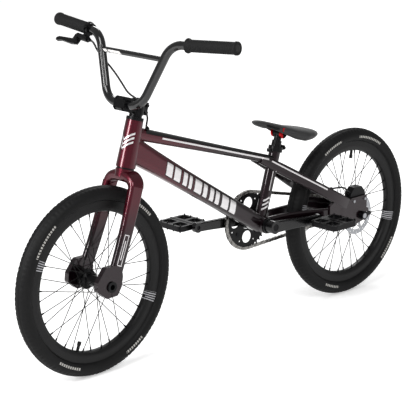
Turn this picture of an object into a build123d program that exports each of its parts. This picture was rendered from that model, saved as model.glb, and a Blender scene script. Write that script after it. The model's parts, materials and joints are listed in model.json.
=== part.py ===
"""A race bicycle with 20 inch wheels: frame, fork, bars, wheels, drive, rear disc brake and saddle.

Millimetres. +X is forward, +Y is the rider's left, +Z is up. The origin is on the ground,
halfway between the axles. Pieces that touch share a face, and pieces that turn or slide
on each other keep RUN between them.
"""
from build123d import *
import os
from math import acos, asin, atan2, cos, degrees, pi, radians, sin, sqrt, tan

# ---- fits -------------------------------------------------------------------
RUN = 0.05            # clearance of a turning or sliding fit
SNUG = 0.02           # clearance of a piece that is pushed in and stays

# ---- overall ----------------------------------------------------------------
WHEELBASE = 954.3
TYRE_OUTER = 246.0
BB_BACK = 113.6       # crank axis behind the middle of the wheelbase
BB_HEIGHT = 281.0
HEAD_ANGLE = 74.2
HEAD_BOTTOM_X = 370.0
HEAD_BOTTOM_Z = 522.6
HEAD_LENGTH = 121.0
SEAT_ANGLE = 73.0
SEAT_TUBE_TOP = 489.0
CRANK_ANGLE = 3.0

# ---- wheels -----------------------------------------------------------------
TYRE_SECTION = 22.0
TYRE_WALL = 5.0
BEAD_SEAT = 203.0
RIM_INNER = 180.5
RIM_HALF = 13.0
RIM_WALL = 2.0
RIM_HOOK = 6.0
RIM_WELL = 4.0
SPOKES = 36
SPOKE_R = 1.0
NIPPLE_R = 2.0
NIPPLE_OUT = 8.0
SPOKE_LACE = 60.0
FLANGE_PITCH = 22.0
FLANGE_RIM = 4.5
FLANGE_HALF = 1.6
VALVE_R = 4.0
VALVE_OUT = 24.0
VALVE_FRONT = -70.0
VALVE_REAR = 96.7
FRONT_PHASE = 5.0     # turns the front spokes so that the valve sits between two of them
REAR_PHASE = 0.0
RIM_TIP = RIM_INNER + 3.0
NIPPLE_SEAT = 1.2     # the nipple's head starts this far inside the rim's wall
SPOKE_LEAN = 2.6      # how far an outer spoke's path across its flange is, in flange rims

# ---- front hub and fork ends -------------------------------------------------
FRONT_HALF = 50.0     # half the gap between the fork ends
FRONT_AXLE_R = 10.0
FRONT_AXLE_BORE = 7.0
FRONT_BEARING_R = 16.0
BEARING_WIDTH = 7.0
FRONT_FLANGE = 29.0
FORK_END_THICK = 15.0
AXLE_CAP = 4.0
PINCH_BOLT_R = 2.5
PINCH_HEAD_R = 4.2
PINCH_DROP = 18.0     # pinch bolt below the axle

# ---- rear hub, dropouts, drive ----------------------------------------------
REAR_HALF = 55.0
REAR_AXLE_R = 7.5
REAR_BEARING_R = 14.0
REAR_FLANGE_LEFT = 27.0
REAR_FLANGE_RIGHT = -22.0
HUB_LEFT = 49.0
HUB_RIGHT = -29.0
DROPOUT_THICK = 8.0
TENSIONER_THICK = 3.0
NUT_LONG = 9.0
NUT_R = 10.0
CHAIN_PITCH = 12.7
CHAIN_Y = -45.0
CHAIN_LINKS = 86
ROLLER_R = 3.9
PIN_R = 1.8
PLATE_THICK = 1.0
INNER_WIDTH = 3.2
RING_TEETH = 40
COG_TEETH = 16
RING_THICK = 2.2
ROTOR_R = 60.0
ROTOR_THICK = 1.8
ROTOR_Y = 45.0
ROTOR_PITCH = 22.0
DRIVER_OUT = -53.0
DRIVER_R = 17.0
TOOTH_OPEN = 3.0      # how much a tooth gap widens on each side towards its mouth

# ---- rear brake ---------------------------------------------------------------
CALIPER_FORWARD = 11.0
CALIPER_UP = 59.0
CALIPER_IN = 32.0
CALIPER_BOLT_R = 2.5
CALIPER_THREAD = 7.0  # how far the bolts reach into the caliper, short of the disc
PAD_LONG = 26.0
PAD_TALL = 20.0
PAD_THICK = 4.0
PAD_GAP = 0.4
PISTON_R = 9.0
PISTON_LONG = 3.2
SLOT_HALF = 5.4

# ---- cranks and pedals -------------------------------------------------------
BB_SHELL_HALF = 34.0
BB_SHELL_R = 23.0
BB_CUP_R = 21.0
BB_CUP_WIDTH = 7.0
SPINDLE_R = 12.0
CRANK_LENGTH = 175.0
CRANK_INNER = 51.0
CRANK_OUTER = 66.0
PEDAL_FACE_IN = 57.0
PEDAL_FACE_OUT = 70.0
BOLT_CIRCLE = 52.0
PEDAL_AXLE_R = 6.0
PEDAL_MID = 122.0
PEDAL_LONG = 100.0
PEDAL_WIDE = 92.0
PEDAL_THICK = 15.0

# ---- steering ----------------------------------------------------------------
STEERER_R = 14.3
STEERER_BORE = 12.0
HEAD_R_LOW = 25.5
HEAD_R_TOP = 22.5
HEAD_BEARING_R = 20.9
HEAD_BEARING_WIDTH = 7.0
CROWN_RACE = 4.0
COVER_TALL = 8.0
SPACER_TALL = 7.0
SPACER_R = 16.8
STEM_TALL = 35.0
STEM_REACH = 46.0
STEM_RISE = 2.5
STEM_HALF = 20.0
STEM_CLAMP_R = 19.0
STEM_FACE = 18.0
TOP_CAP_TALL = 4.0
BAR_R = 11.1
BAR_WALL = 1.6
BAR_LOW_Y = 62.4
BAR_TOP = (333.4, 132.3, 844.6)
BAR_END = (305.0, 328.0, 856.0)
BAR_LOW_BEND = 55.0
BAR_TOP_BEND = 58.0
CROSSBAR_R = 7.0
CROSSBAR_Z = 807.0
GRIP_LONG = 146.0
GRIP_R = 15.5
GRIP_FLANGE_R = 18.5
LEVER_IN = GRIP_LONG + 6.2    # lever clamp's distance from the bar end
LEVER_DROP = 50.0
CLAMP_R = 15.5
CLAMP_WIDE = 10.0
CLAMP_LUG = 19.0
CLAMP_BOLT_AT = 15.0
CLAMP_BOLT_R = 2.0
CLAMP_GAP = 1.2
CYLINDER_AT = 28.0
CYLINDER_R = 8.0
INLET_END = -28.0
PIVOT = (30.0, 45.0)
PIVOT_R = 2.5
BLADE_HALF = 4.0

# ---- seat ---------------------------------------------------------------------
SEAT_TUBE_R = 16.0
POST_R = 13.6
POST_BOTTOM = 395.0
POST_HEAD_Z = 524.0
POST_SHOULDER = 504.0
POST_HEAD_R = 11.0
POST_HEAD_HALF = 13.0
SADDLE_TILT = 17.5
RAIL_R = 3.5
RAIL_HALF = 22.0
RAIL_Z = 10.5
SADDLE_ROOM = 6.0       # from the rails' middle to the saddle's shell over the clamp

# ---- brake hose -----------------------------------------------------------------
HOSE_R = 2.5
HOSE_BORE_GAP = 0.6
HOSE_FRONT = [
    (343, -134, 800), (332, -119, 777), (331, -86, 754), (336, -48, 727), (344, -16, 706),
    (343, 16, 697), (333, 31, 676), (322, 33, 650), (317.5, 23, 631), (312.5, 15.3, 619.4),
]
HOSE_REAR = [
    (311, 15, 618), (296, 12, 604), (245, 11, 580), (185, 12, 560), (125, 11, 542), (65, 12, 522),
    (5, 11, 504), (-45, 13, 488), (-90, 16, 473), (-130, 20, 456), (-168, 24, 434),
    (-215, 31, 407), (-262, 41, 380), (-305, 50, 358), (-340, 55, 346), (-368, 58, 346),
    (-394, 57, 343), (-415, 54, 334), (-430, 50, 322),
]

AXLE_X = WHEELBASE / 2
AXLE_Z = TYRE_OUTER
BB = (-BB_BACK, 0.0, BB_HEIGHT)
CALIPER = (CALIPER_FORWARD - AXLE_X, AXLE_Z + CALIPER_UP)
UP_STEER = Vector(-cos(radians(HEAD_ANGLE)), 0, sin(radians(HEAD_ANGLE)))
STEER = Plane(origin=(HEAD_BOTTOM_X, 0, HEAD_BOTTOM_Z), x_dir=(0, 1, 0), z_dir=UP_STEER)
COVER_AT = HEAD_LENGTH + RUN
SPACER_AT = COVER_AT + COVER_TALL
STEM_AT = SPACER_AT + SPACER_TALL
CAP_AT = STEM_AT + STEM_TALL


# ---- shapes that many pieces use ---------------------------------------------
def save(name, *pieces):
    """Writes a node: one solid, or a group of separate solids."""
    solids = [solid for piece in pieces for solid in piece.solids()]
    shape = solids[0] if len(solids) == 1 else Compound(children=solids)
    export_step(shape, f"parts/{name}.step")


def rod(start, end, radius, bore=0.0):
    """A round bar between two points, with a hole along it if a bore is given."""
    start, end = Vector(*start), Vector(*end)
    face = Circle(radius) - Circle(bore) if bore else Circle(radius)
    return extrude(Plane(origin=start, z_dir=end - start) * face, (end - start).length)


def across(x, z, y_from, y_to, radius, bore=0.0):
    """A round bar or ring that lies along Y."""
    return rod((x, y_from, z), (x, y_to, z), radius, bore)


def on_steer(low, high, radius, bore=0.0):
    """A ring on the steering axis, between two heights above the bottom of the head tube."""
    face = Circle(radius) - Circle(bore) if bore else Circle(radius)
    return extrude(Plane(origin=STEER.origin + UP_STEER * low, z_dir=UP_STEER) * face, high - low)


def strut(stations, side, corner=0.42):
    """A smooth limb through stations (x, y, z, width along side, depth)."""
    points = [Vector(*station[:3]) for station in stations]
    faces = []
    for i, (_, _, _, width, depth) in enumerate(stations):
        legs = [(b - a).normalized() for a, b in zip(points, points[1:])][max(i - 1, 0):i + 1]
        direction = (legs[0] + legs[-1]).normalized()
        flat = (Vector(*side) - direction * direction.dot(Vector(*side))).normalized()
        outline = RectangleRounded(width, depth, corner * min(width, depth))
        faces.append(Plane(origin=points[i], x_dir=flat, z_dir=direction) * outline)
    return loft(faces)


def plate(outline, y_from, y_to, corner):
    """A plate across Y, from an outline of (x, z) points with rounded corners."""
    points = [(x, y_from, z) for x, z in outline]
    edge = FilletPolyline(*points, radius=corner, close=True)
    return extrude(make_face(edge), amount=y_to - y_from, dir=(0, 1, 0))


def turned(profile):
    """A ring about Y from its profile of (radius, y) points, centred on the origin."""
    return revolve(make_face(Polyline(*profile, close=True)), Axis.Y, 360)


def corner_radii(points):
    """The largest smooth arc at each corner of a hose, 0.45 of its shorter run over tan(half turn)."""
    radii = []
    for before, corner, after in zip(points, points[1:], points[2:]):
        arrive = Vector(*corner) - Vector(*before)
        leave = Vector(*after) - Vector(*corner)
        turn = acos(max(-1.0, min(1.0, arrive.normalized().dot(leave.normalized()))))
        radii.append(0.45 * min(arrive.length, leave.length) / tan(turn / 2))
    return radii


def hose(points, radius):
    """A hose of straight runs joined by tangent arcs."""
    path = FilletPolyline(*points, radius=corner_radii(points))
    return sweep(Plane(origin=path @ 0, z_dir=path % 0) * Circle(radius), path)


def mirrored(piece):
    """The same piece on the other side of the bicycle."""
    return mirror(piece, about=Plane.XZ)


def seat_x(z):
    """Where the seat tube's axis is at a height."""
    return -BB_BACK - 2.0 - (z - BB_HEIGHT) / tan(radians(SEAT_ANGLE))


def seat_rod(low, high, radius, bore=0.0):
    """A ring on the seat tube's axis between two heights."""
    return rod((seat_x(low), 0, low), (seat_x(high), 0, high), radius, bore)


# ---- frame ---------------------------------------------------------------------
def between(start, end, share):
    """A point part of the way from one (x, z) point to another, as (x, 0, z)."""
    return start[0] + (end[0] - start[0]) * share, 0, start[1] + (end[1] - start[1]) * share


def top_tube(shrink):
    """The top tube, shrunk for its hollow inside."""
    w = 2 * shrink
    head = (HEAD_BOTTOM_X - 24, HEAD_BOTTOM_Z + 85.4)
    seat_z = SEAT_TUBE_TOP - 32.5
    seat = (seat_x(seat_z) + 19.3, seat_z)
    sizes = [(0, 40, 34), (0.294, 35, 30), (0.698, 34, 25), (1, 44, 23)]
    return strut([(*between(head, seat, share), wide - w, deep - w) for share, wide, deep in sizes], (0, 1, 0))


def down_tube(shrink):
    """The down tube, deepest at the head tube."""
    w = 2 * shrink
    head = (HEAD_BOTTOM_X - 17, HEAD_BOTTOM_Z + 45.4)
    crank = (BB[0] + 5.6, BB[2] + 1)
    sizes = [(0, 44, 66), (0.267, 46, 55), (0.636, 48, 50), (1, 50, 47)]
    return strut([(*between(head, crank, share), wide - w, deep - w) for share, wide, deep in sizes],
                 (0, 1, 0), 0.38)


def seat_stay():
    """The left seat stay, from beside the seat tube to the dropout."""
    top, low = SEAT_TUBE_TOP, AXLE_Z
    x, out = seat_x(top), REAR_HALF
    return strut([(x + 74, 13, top - 23, 16, 24), (x + 29, 18, top - 46, 15, 30),
                  (x - 71, out - 15.5, top - 103.5, 13, 32), (-AXLE_X + 137, out + 2.5, low + 87, 12, 33),
                  (-AXLE_X + 62, out + 4, low + 44, 9, 34)], (0, 1, 0))


def chain_stay():
    """The left chain stay, from the crank shell to the dropout."""
    x, z, out = BB[0], BB[2], REAR_HALF
    return strut([(x + 1.6, 20, z + 1, 18, 36), (x - 66.4, 28, z + 3, 14, 34),
                  (x - 121.4, 34.5, z + 2, 13, 31), (-AXLE_X + 132, out - 1.5, AXLE_Z + 25, 11, 38),
                  (-AXLE_X + 72, out + 4, AXLE_Z + 16, 9, 46)], (0, 1, 0))


def dropout(caliper_ear):
    """The left dropout plate with its open slot, and the brake's ear where there is one."""
    outline = [(139, 51), (139, 6), (93, -25), (37, -29), (15, -20), (-29, -12), (-29, 16), (9, 36),
               (62, 60), (92, 76)]
    body = plate([(x - AXLE_X, AXLE_Z + z) for x, z in outline], REAR_HALF, REAR_HALF + DROPOUT_THICK, 6)
    if caliper_ear:
        ear = [(CALIPER[0] + 36, AXLE_Z + 16), (CALIPER[0] + 36, CALIPER[1] - 2),
               (CALIPER[0] - 34, CALIPER[1] - 2), (CALIPER[0] - 34, AXLE_Z + 9)]
        body = body + plate(ear, REAR_HALF, REAR_HALF + 6, 5)
        for x, z in caliper_bolt_places():
            body -= across(x, z, REAR_HALF - 1, REAR_HALF + DROPOUT_THICK + 1, CALIPER_BOLT_R + RUN)
    slot = Pos(-AXLE_X - 20, REAR_HALF + DROPOUT_THICK / 2, AXLE_Z) * Box(
        40, DROPOUT_THICK + 2, 2 * (REAR_AXLE_R + RUN))
    return body - slot - across(-AXLE_X, AXLE_Z, REAR_HALF - 1, REAR_HALF + DROPOUT_THICK + 1,
                                REAR_AXLE_R + RUN)


def grommet_axes():
    """Start and end of the two rubber rings that the hose passes through."""
    front = (Vector(*HOSE_REAR[0]), Vector(*HOSE_REAR[1]))
    away = (front[1] - front[0]).normalized()
    leave, past = Vector(*HOSE_REAR[14]), Vector(*HOSE_REAR[15])
    out = (past - leave).normalized()
    mid = leave + out * 8
    return [(front[0] + away * 1.0, front[0] + away * 7.0), (mid - out * 3.5, mid + out * 3.5)]


def main_frame():
    """Head tube, top tube, down tube, seat tube, crank shell, stays and dropouts in one moulding."""
    head = loft([Plane(origin=STEER.origin, z_dir=UP_STEER) * Circle(HEAD_R_LOW),
                 Plane(origin=STEER.origin + UP_STEER * HEAD_LENGTH, z_dir=UP_STEER) * Circle(HEAD_R_TOP)])
    shell = across(BB[0], BB[2], -BB_SHELL_HALF, BB_SHELL_HALF, BB_SHELL_R)
    body = head + top_tube(0) + down_tube(0) + seat_rod(BB_HEIGHT, SEAT_TUBE_TOP, SEAT_TUBE_R) + shell
    for side, ear in ((lambda piece: piece, True), (mirrored, False)):
        body += side(seat_stay())
        body += side(chain_stay())
        body += side(dropout(ear))
    body -= top_tube(3.0)
    body -= down_tube(3.0)
    body -= on_steer(HEAD_BEARING_WIDTH, HEAD_LENGTH - HEAD_BEARING_WIDTH, STEERER_R + 3)
    body -= on_steer(-1, HEAD_BEARING_WIDTH, HEAD_BEARING_R + SNUG)
    body -= on_steer(HEAD_LENGTH - HEAD_BEARING_WIDTH, HEAD_LENGTH + 1, HEAD_BEARING_R + SNUG)
    body -= seat_rod(BB_HEIGHT + BB_SHELL_R, SEAT_TUBE_TOP + 5, POST_R + RUN)
    body -= across(BB[0], BB[2], -BB_SHELL_HALF - 1, BB_SHELL_HALF + 1, SPINDLE_R + 4)
    body -= hose(HOSE_REAR[:16], HOSE_R + HOSE_BORE_GAP)
    for start, end in grommet_axes():
        body -= rod(start, end, HOSE_R + 2.5 + SNUG)
    for x, z in caliper_bolt_places():
        body -= across(x, z, REAR_HALF + 6, REAR_HALF + 20, PINCH_HEAD_R + SNUG)
    solids = body.solids()
    return max(solids, key=lambda solid: solid.volume)


def headset_bearings():
    """The two cartridge bearings pressed into the head tube."""
    low = on_steer(0, HEAD_BEARING_WIDTH, HEAD_BEARING_R, STEERER_R + RUN)
    top = on_steer(HEAD_LENGTH - HEAD_BEARING_WIDTH, HEAD_LENGTH, HEAD_BEARING_R, STEERER_R + RUN)
    return [low, top]


def bottom_bracket_cups():
    """The two outboard bearing cups against the crank shell."""
    left = across(BB[0], BB[2], BB_SHELL_HALF, BB_SHELL_HALF + BB_CUP_WIDTH, BB_CUP_R, SPINDLE_R + RUN)
    neck = across(BB[0], BB[2], BB_SHELL_HALF - 8, BB_SHELL_HALF, SPINDLE_R + 4 - SNUG, SPINDLE_R + RUN)
    cup = left + neck
    return [cup, mirrored(cup)]


def seat_clamp():
    """The collar round the top of the seat tube, with its bolt across the back."""
    top = SEAT_TUBE_TOP
    collar = seat_rod(top - 15, top, SEAT_TUBE_R + 4, SEAT_TUBE_R + SNUG)
    x = seat_x(top - 7.5)
    ears = Pos(x - SEAT_TUBE_R - 8, 0, top - 7.5) * Box(12, 16, 12)
    front = Pos(x + SEAT_TUBE_R + 7, 0, top - 7.5) * Box(10, 12, 9)
    solid = collar + ears + front - seat_rod(top - 25, top + 10, SEAT_TUBE_R + SNUG)
    solid -= Pos(x - SEAT_TUBE_R - 9, 0, top - 7.5) * Box(16, 1.5, 30)
    bolt_x = x - SEAT_TUBE_R - 9.5
    solid -= across(bolt_x, top - 7.5, -10, 10, PINCH_BOLT_R + RUN)
    bolt = across(bolt_x, top - 7.5, -8, 8, PINCH_BOLT_R)
    head = across(bolt_x, top - 7.5, 8, 12, PINCH_HEAD_R)
    return [solid, bolt + head]


def rear_axle():
    """The rear axle with the shoulders that the dropouts close on."""
    axle = across(-AXLE_X, AXLE_Z, -REAR_HALF - 20, REAR_HALF + 20, REAR_AXLE_R)
    left = across(-AXLE_X, AXLE_Z, HUB_LEFT + RUN, REAR_HALF, REAR_AXLE_R + 3.5)
    right = across(-AXLE_X, AXLE_Z, -REAR_HALF, DRIVER_OUT - RUN, REAR_AXLE_R + 3.5)
    return axle + left + right


def chain_tensioners():
    """A plate on each end of the axle, with the screw that pulls it back."""
    inner = REAR_HALF + DROPOUT_THICK
    outline = [(-AXLE_X + 14, AXLE_Z + 9), (-AXLE_X + 14, AXLE_Z - 9), (-AXLE_X - 30, AXLE_Z - 6),
               (-AXLE_X - 30, AXLE_Z + 6)]
    body = plate(outline, inner, inner + TENSIONER_THICK, 4)
    body -= across(-AXLE_X, AXLE_Z, inner - 1, inner + TENSIONER_THICK + 1, REAR_AXLE_R + SNUG)
    lug = Pos(-AXLE_X - 33.5, inner - 1.5, AXLE_Z) * Box(7, 9, 10)
    screw = rod((-AXLE_X - 37, inner - 2, AXLE_Z), (-AXLE_X - 43, inner - 2, AXLE_Z), 3)
    solid = body + lug + screw
    return [solid, mirrored(solid)]


def rear_axle_nuts():
    """The two nuts outside the tensioners."""
    start = REAR_HALF + DROPOUT_THICK + TENSIONER_THICK
    washer = across(-AXLE_X, AXLE_Z, start, start + 1.5, NUT_R + 2.5, REAR_AXLE_R + SNUG)
    face = Circle(NUT_R + 1.5) & RegularPolygon(NUT_R + 2, 6)
    place = Plane(origin=(-AXLE_X, start + 1.5, AXLE_Z), z_dir=(0, 1, 0))
    nut = extrude(place * (face - Circle(REAR_AXLE_R + SNUG)), NUT_LONG - 1.5)
    nut = washer + nut
    return [nut, mirrored(nut)]


# ---- rear brake --------------------------------------------------------------------
def caliper_bolt_places():
    """The two bolts that hold the caliper to the frame's ear."""
    return [(CALIPER[0] + 24, CALIPER[1] - 12), (CALIPER[0] - 24, CALIPER[1] - 12)]


def brake_caliper():
    """The caliper body: it bridges the disc and holds the pads and pistons."""
    cx, cz = CALIPER
    outline = [(cx + 32, cz - 20), (cx + 30, cz + 8), (cx + 14, cz + 26), (cx - 16, cz + 26),
               (cx - 32, cz + 8), (cx - 33, cz - 20)]
    body = plate(outline, CALIPER_IN, REAR_HALF, 5)
    inlet, before = Vector(*HOSE_REAR[-1]), Vector(*HOSE_REAR[-2])
    body += rod(inlet, inlet + (inlet - before).normalized() * 14, 4.2)
    body -= Pos(cx, ROTOR_Y, cz - 12) * Box(90, ROTOR_THICK + 2.6, 33)
    body -= Pos(cx, ROTOR_Y, cz - 14) * Box(PAD_LONG + 2 * RUN, 2 * SLOT_HALF, PAD_TALL + 18)
    reach = ROTOR_THICK / 2 + PAD_GAP + PAD_THICK + PISTON_LONG + 0.3
    body -= across(cx, cz - 9, ROTOR_Y - reach, ROTOR_Y + reach, PISTON_R + RUN)
    for x, z in caliper_bolt_places():
        body -= across(x, z, REAR_HALF - CALIPER_THREAD - 0.2, REAR_HALF + 1, CALIPER_BOLT_R + SNUG)
    return max(body.solids(), key=lambda solid: solid.volume)


def caliper_bolts():
    """Two socket bolts through the ear into the caliper."""
    outer = REAR_HALF + 6
    bolts = []
    for x, z in caliper_bolt_places():
        shank = across(x, z, REAR_HALF - CALIPER_THREAD, outer, CALIPER_BOLT_R)
        bolts.append(shank + across(x, z, outer, outer + 4, PINCH_HEAD_R))
    return bolts


def brake_pad(sign):
    """A pad with its piston; sign is +1 for the outer one."""
    cx, cz = CALIPER
    face = ROTOR_Y + sign * (ROTOR_THICK / 2 + PAD_GAP)
    pad = Pos(cx, face + sign * PAD_THICK / 2, cz - 9) * Box(PAD_LONG, PAD_THICK, PAD_TALL)
    back = face + sign * PAD_THICK
    return pad + across(cx, cz - 9, back, back + sign * PISTON_LONG, PISTON_R)


def hose_grommets():
    """The rubber rings where the hose enters the top tube and leaves the seat stay."""
    return [rod(start, end, HOSE_R + 2.5, HOSE_R + HOSE_BORE_GAP) for start, end in grommet_axes()]


# ---- wheels ----------------------------------------------------------------------
def spoke_lines(left_y, right_y, phase):
    """For each spoke its flange end, its rim end, its direction, its flange and its side of it."""
    lines = []
    for j in range(SPOKES):
        y, turn = (left_y, 1) if j % 2 == 0 else (right_y, -1)
        leading = (j // 2) % 2 == 0
        rim_at = radians(360 / SPOKES * j + phase)
        flange_at = rim_at + radians(SPOKE_LACE) * (-1 if leading else 1)
        lean = SPOKE_LEAN * FLANGE_RIM * abs(y) / RIM_TIP
        face = FLANGE_HALF + SPOKE_R + SNUG + lean if leading else -FLANGE_HALF - SPOKE_R - SNUG
        start = Vector(FLANGE_PITCH * cos(flange_at), y + turn * face, FLANGE_PITCH * sin(flange_at))
        end = Vector(RIM_TIP * cos(rim_at), turn * 2.0, RIM_TIP * sin(rim_at))
        lines.append((start, end, (end - start).normalized(), y, turn * (1 if leading else -1)))
    return lines


def spokes(left_y, right_y, phase):
    """Spokes from the nipples to the flanges, each with an elbow that passes its flange's hole."""
    made = []
    for start, end, way, y, side in spoke_lines(left_y, right_y, phase):
        far = Vector(start.X, y - side * (FLANGE_HALF + 1.2), start.Z)
        straight = rod(start, end - way * (NIPPLE_OUT + 3), SPOKE_R)
        made.append(straight + rod(start, far, SPOKE_R) + Pos(*start) * Sphere(SPOKE_R))
    return made


def flange_holes(left_y, right_y, phase):
    """The holes of both flanges, one for each spoke's elbow."""
    holes = []
    for start, _, _, y, _ in spoke_lines(left_y, right_y, phase):
        holes.append(rod((start.X, y - 5, start.Z), (start.X, y + 5, start.Z), SPOKE_R + SNUG))
    return holes


def nipples(left_y, right_y, phase):
    """A nipple on each spoke: the shank passes the rim's wall, the head sits inside it."""
    made = []
    for _, end, way, _, _ in spoke_lines(left_y, right_y, phase):
        seat = end + way * NIPPLE_SEAT
        shank = rod(end - way * (NIPPLE_OUT + 3), seat, NIPPLE_R)
        made.append(shank + rod(seat, seat + way * 2.5, NIPPLE_R + 1.0))
    return made


def rim(left_y, right_y, phase, valve):
    """A deep hollow rim with hooked edges, drilled for the spokes and the valve."""
    half, seat = RIM_HALF, BEAD_SEAT
    hook = seat + RIM_HOOK
    outer = [(RIM_INNER, -4.5), (RIM_INNER + 2.5, -9.5), (RIM_INNER + 9, -half + 0.8),
             (RIM_INNER + 14, -half), (hook, -half), (hook, -half + RIM_WALL), (seat, -half + RIM_WALL),
             (seat, -7), (seat - RIM_WELL, -6)]
    outer += [(r, -y) for r, y in reversed(outer)]
    low, top = RIM_INNER + 2.8, seat - RIM_WELL - 1.8
    hollow = [(low, -4), (low + 2, -8), (low + 7, -half + 2.6), (low + 10, -half + RIM_WALL),
              (top, -half + RIM_WALL)]
    hollow += [(r, -y) for r, y in reversed(hollow)]
    holes = []
    for _, end, way, _, _ in spoke_lines(left_y, right_y, phase):
        holes.append(rod(end - way * 6, end + way * 1.0, NIPPLE_R + RUN))
    at = radians(valve)
    out = Vector(cos(at), 0, sin(at))
    holes.append(rod(out * (RIM_INNER - 10), out * (seat + 3), VALVE_R + RUN))
    return turned(outer) - turned(hollow) - holes


def tyre():
    """The casing, open towards the rim, with a bead along each edge."""
    centre = TYRE_OUTER - TYRE_SECTION
    inner_r = TYRE_SECTION - TYRE_WALL
    bead, low = RIM_HALF - RIM_WALL - 0.05, BEAD_SEAT + 0.05
    turn = radians(35)
    out_side = (centre - TYRE_SECTION * sin(turn), TYRE_SECTION * cos(turn))
    in_side = (centre - inner_r * sin(turn), inner_r * cos(turn))
    foot, neck = bead - 2.5, low + 7.2
    outline = [
        Line((low, bead), (BEAD_SEAT + RIM_HOOK + 0.6, bead)),
        Line((BEAD_SEAT + RIM_HOOK + 0.6, bead), out_side),
        ThreePointArc(out_side, (TYRE_OUTER, 0), (out_side[0], -out_side[1])),
        Line((out_side[0], -out_side[1]), (BEAD_SEAT + RIM_HOOK + 0.6, -bead)),
        Line((BEAD_SEAT + RIM_HOOK + 0.6, -bead), (low, -bead)),
        Line((low, -bead), (low, -foot)),
        Line((low, -foot), (neck, -foot)),
        Line((neck, -foot), (in_side[0], -in_side[1])),
        ThreePointArc((in_side[0], -in_side[1]), (centre + inner_r, 0), in_side),
        Line(in_side, (neck, foot)),
        Line((neck, foot), (low, foot)),
        Line((low, foot), (low, bead)),
    ]
    return revolve(make_face(outline), Axis.Y, 360)


def inner_tube(valve):
    """The inflated tube with its valve stem, which passes the rim."""
    centre = TYRE_OUTER - TYRE_SECTION + 0.3
    section = TYRE_SECTION - TYRE_WALL - 0.8
    tube = Rot(90, 0, 0) * (Torus(centre, section) - Torus(centre, section - 1.2))
    at = radians(valve)
    out = Vector(cos(at), 0, sin(at))
    stem = rod(out * (RIM_INNER - VALVE_OUT), out * (centre - section + 1.0), VALVE_R)
    cap = rod(out * (RIM_INNER - VALVE_OUT), out * (RIM_INNER - VALVE_OUT + 9), VALVE_R + 1)
    return tube + stem + cap


def front_hub(phase):
    """The front hub shell with its flanges, their spoke holes and the bearing pockets."""
    end = FRONT_HALF - 0.1
    pocket = end - BEARING_WIDTH
    f = FRONT_FLANGE
    rim_r = FLANGE_PITCH + FLANGE_RIM
    bearing = FRONT_BEARING_R + SNUG
    half = [(11, 0), (14, 0), (14, f - 6), (FLANGE_PITCH - 3.5, f - FLANGE_HALF), (rim_r, f - FLANGE_HALF),
            (rim_r, f + FLANGE_HALF), (FRONT_BEARING_R + 4, f + FLANGE_HALF + 1),
            (FRONT_BEARING_R + 3, end), (bearing, end), (bearing, pocket), (11, pocket)]
    shell = turned(half)
    return shell + mirrored(shell) - flange_holes(f, -f, phase)


def front_hub_bearings():
    """The two cartridge bearings that turn on the front axle."""
    end = FRONT_HALF - 0.1
    left = across(0, 0, end - BEARING_WIDTH, end, FRONT_BEARING_R, FRONT_AXLE_R + RUN)
    return [left, mirrored(left)]


def rear_hub(phase):
    """The rear hub shell: two drilled flanges, the disc's seat and the pockets of its bearings."""
    left, right = REAR_FLANGE_LEFT, REAR_FLANGE_RIGHT
    rim_r = FLANGE_PITCH + FLANGE_RIM
    pocket = REAR_BEARING_R + SNUG
    disc = ROTOR_Y - ROTOR_THICK / 2
    barrel, foot = REAR_BEARING_R + 4.5, FLANGE_PITCH - 3.5
    profile = [(9, HUB_RIGHT + BEARING_WIDTH), (pocket, HUB_RIGHT + BEARING_WIDTH), (pocket, HUB_RIGHT),
               (barrel, HUB_RIGHT), (barrel, right - FLANGE_HALF - 1), (rim_r, right - FLANGE_HALF),
               (rim_r, right + FLANGE_HALF), (foot, right + FLANGE_HALF), (14, right + 6), (14, left - 6),
               (foot, left - FLANGE_HALF), (rim_r, left - FLANGE_HALF), (rim_r, left + FLANGE_HALF),
               (18, left + FLANGE_HALF + 1), (18, disc - 6), (ROTOR_PITCH + 5, disc - 6),
               (ROTOR_PITCH + 5, disc), (17.5, disc), (17.5, HUB_LEFT), (pocket, HUB_LEFT),
               (pocket, HUB_LEFT - BEARING_WIDTH), (9, HUB_LEFT - BEARING_WIDTH)]
    shell = turned(profile)
    for place in rotor_bolt_places():
        shell -= across(place[0], place[1], disc - 6.5, disc + 1, 2.5 + SNUG)
    return shell - flange_holes(left, right, phase)


def rear_hub_bearings():
    """The two cartridge bearings of the rear hub."""
    bore = REAR_AXLE_R + RUN
    left = across(0, 0, HUB_LEFT - BEARING_WIDTH, HUB_LEFT, REAR_BEARING_R, bore)
    right = across(0, 0, HUB_RIGHT, HUB_RIGHT + BEARING_WIDTH, REAR_BEARING_R, bore)
    return [left, right]


def rotor_bolt_places():
    """Six bolts round the hub, as (x, z) with the wheel at the origin."""
    return [(ROTOR_PITCH * cos(k * pi / 3), ROTOR_PITCH * sin(k * pi / 3)) for k in range(6)]


def brake_rotor():
    """The brake disc: an outer friction band on six arms, with vent holes, and its six bolts."""
    low, high = ROTOR_Y - ROTOR_THICK / 2, ROTOR_Y + ROTOR_THICK / 2
    face = Circle(ROTOR_R) - Circle(ROTOR_R - 14)
    face += Circle(ROTOR_PITCH + 5) - Circle(17.5 + SNUG)
    for k in range(6):
        face += Rot(0, 0, 60 * k + 18) * (Pos((ROTOR_R + ROTOR_PITCH) / 2 - 4, 0) * Rectangle(32, 6))
    for k in range(24):
        face -= Rot(0, 0, 15 * k) * (Pos(ROTOR_R - 7 + 2.5 * (-1) ** k, 0) * Circle(2.2))
    disc = extrude(Plane(origin=(0, low, 0), z_dir=(0, 1, 0)) * face, ROTOR_THICK)
    bolts = []
    for x, z in rotor_bolt_places():
        disc -= across(x, z, low - 1, high + 1, 2.5 + SNUG)
        bolts.append(across(x, z, low - 6, high, 2.5) + across(x, z, high, high + 2, 4))
    return [disc] + bolts


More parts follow.
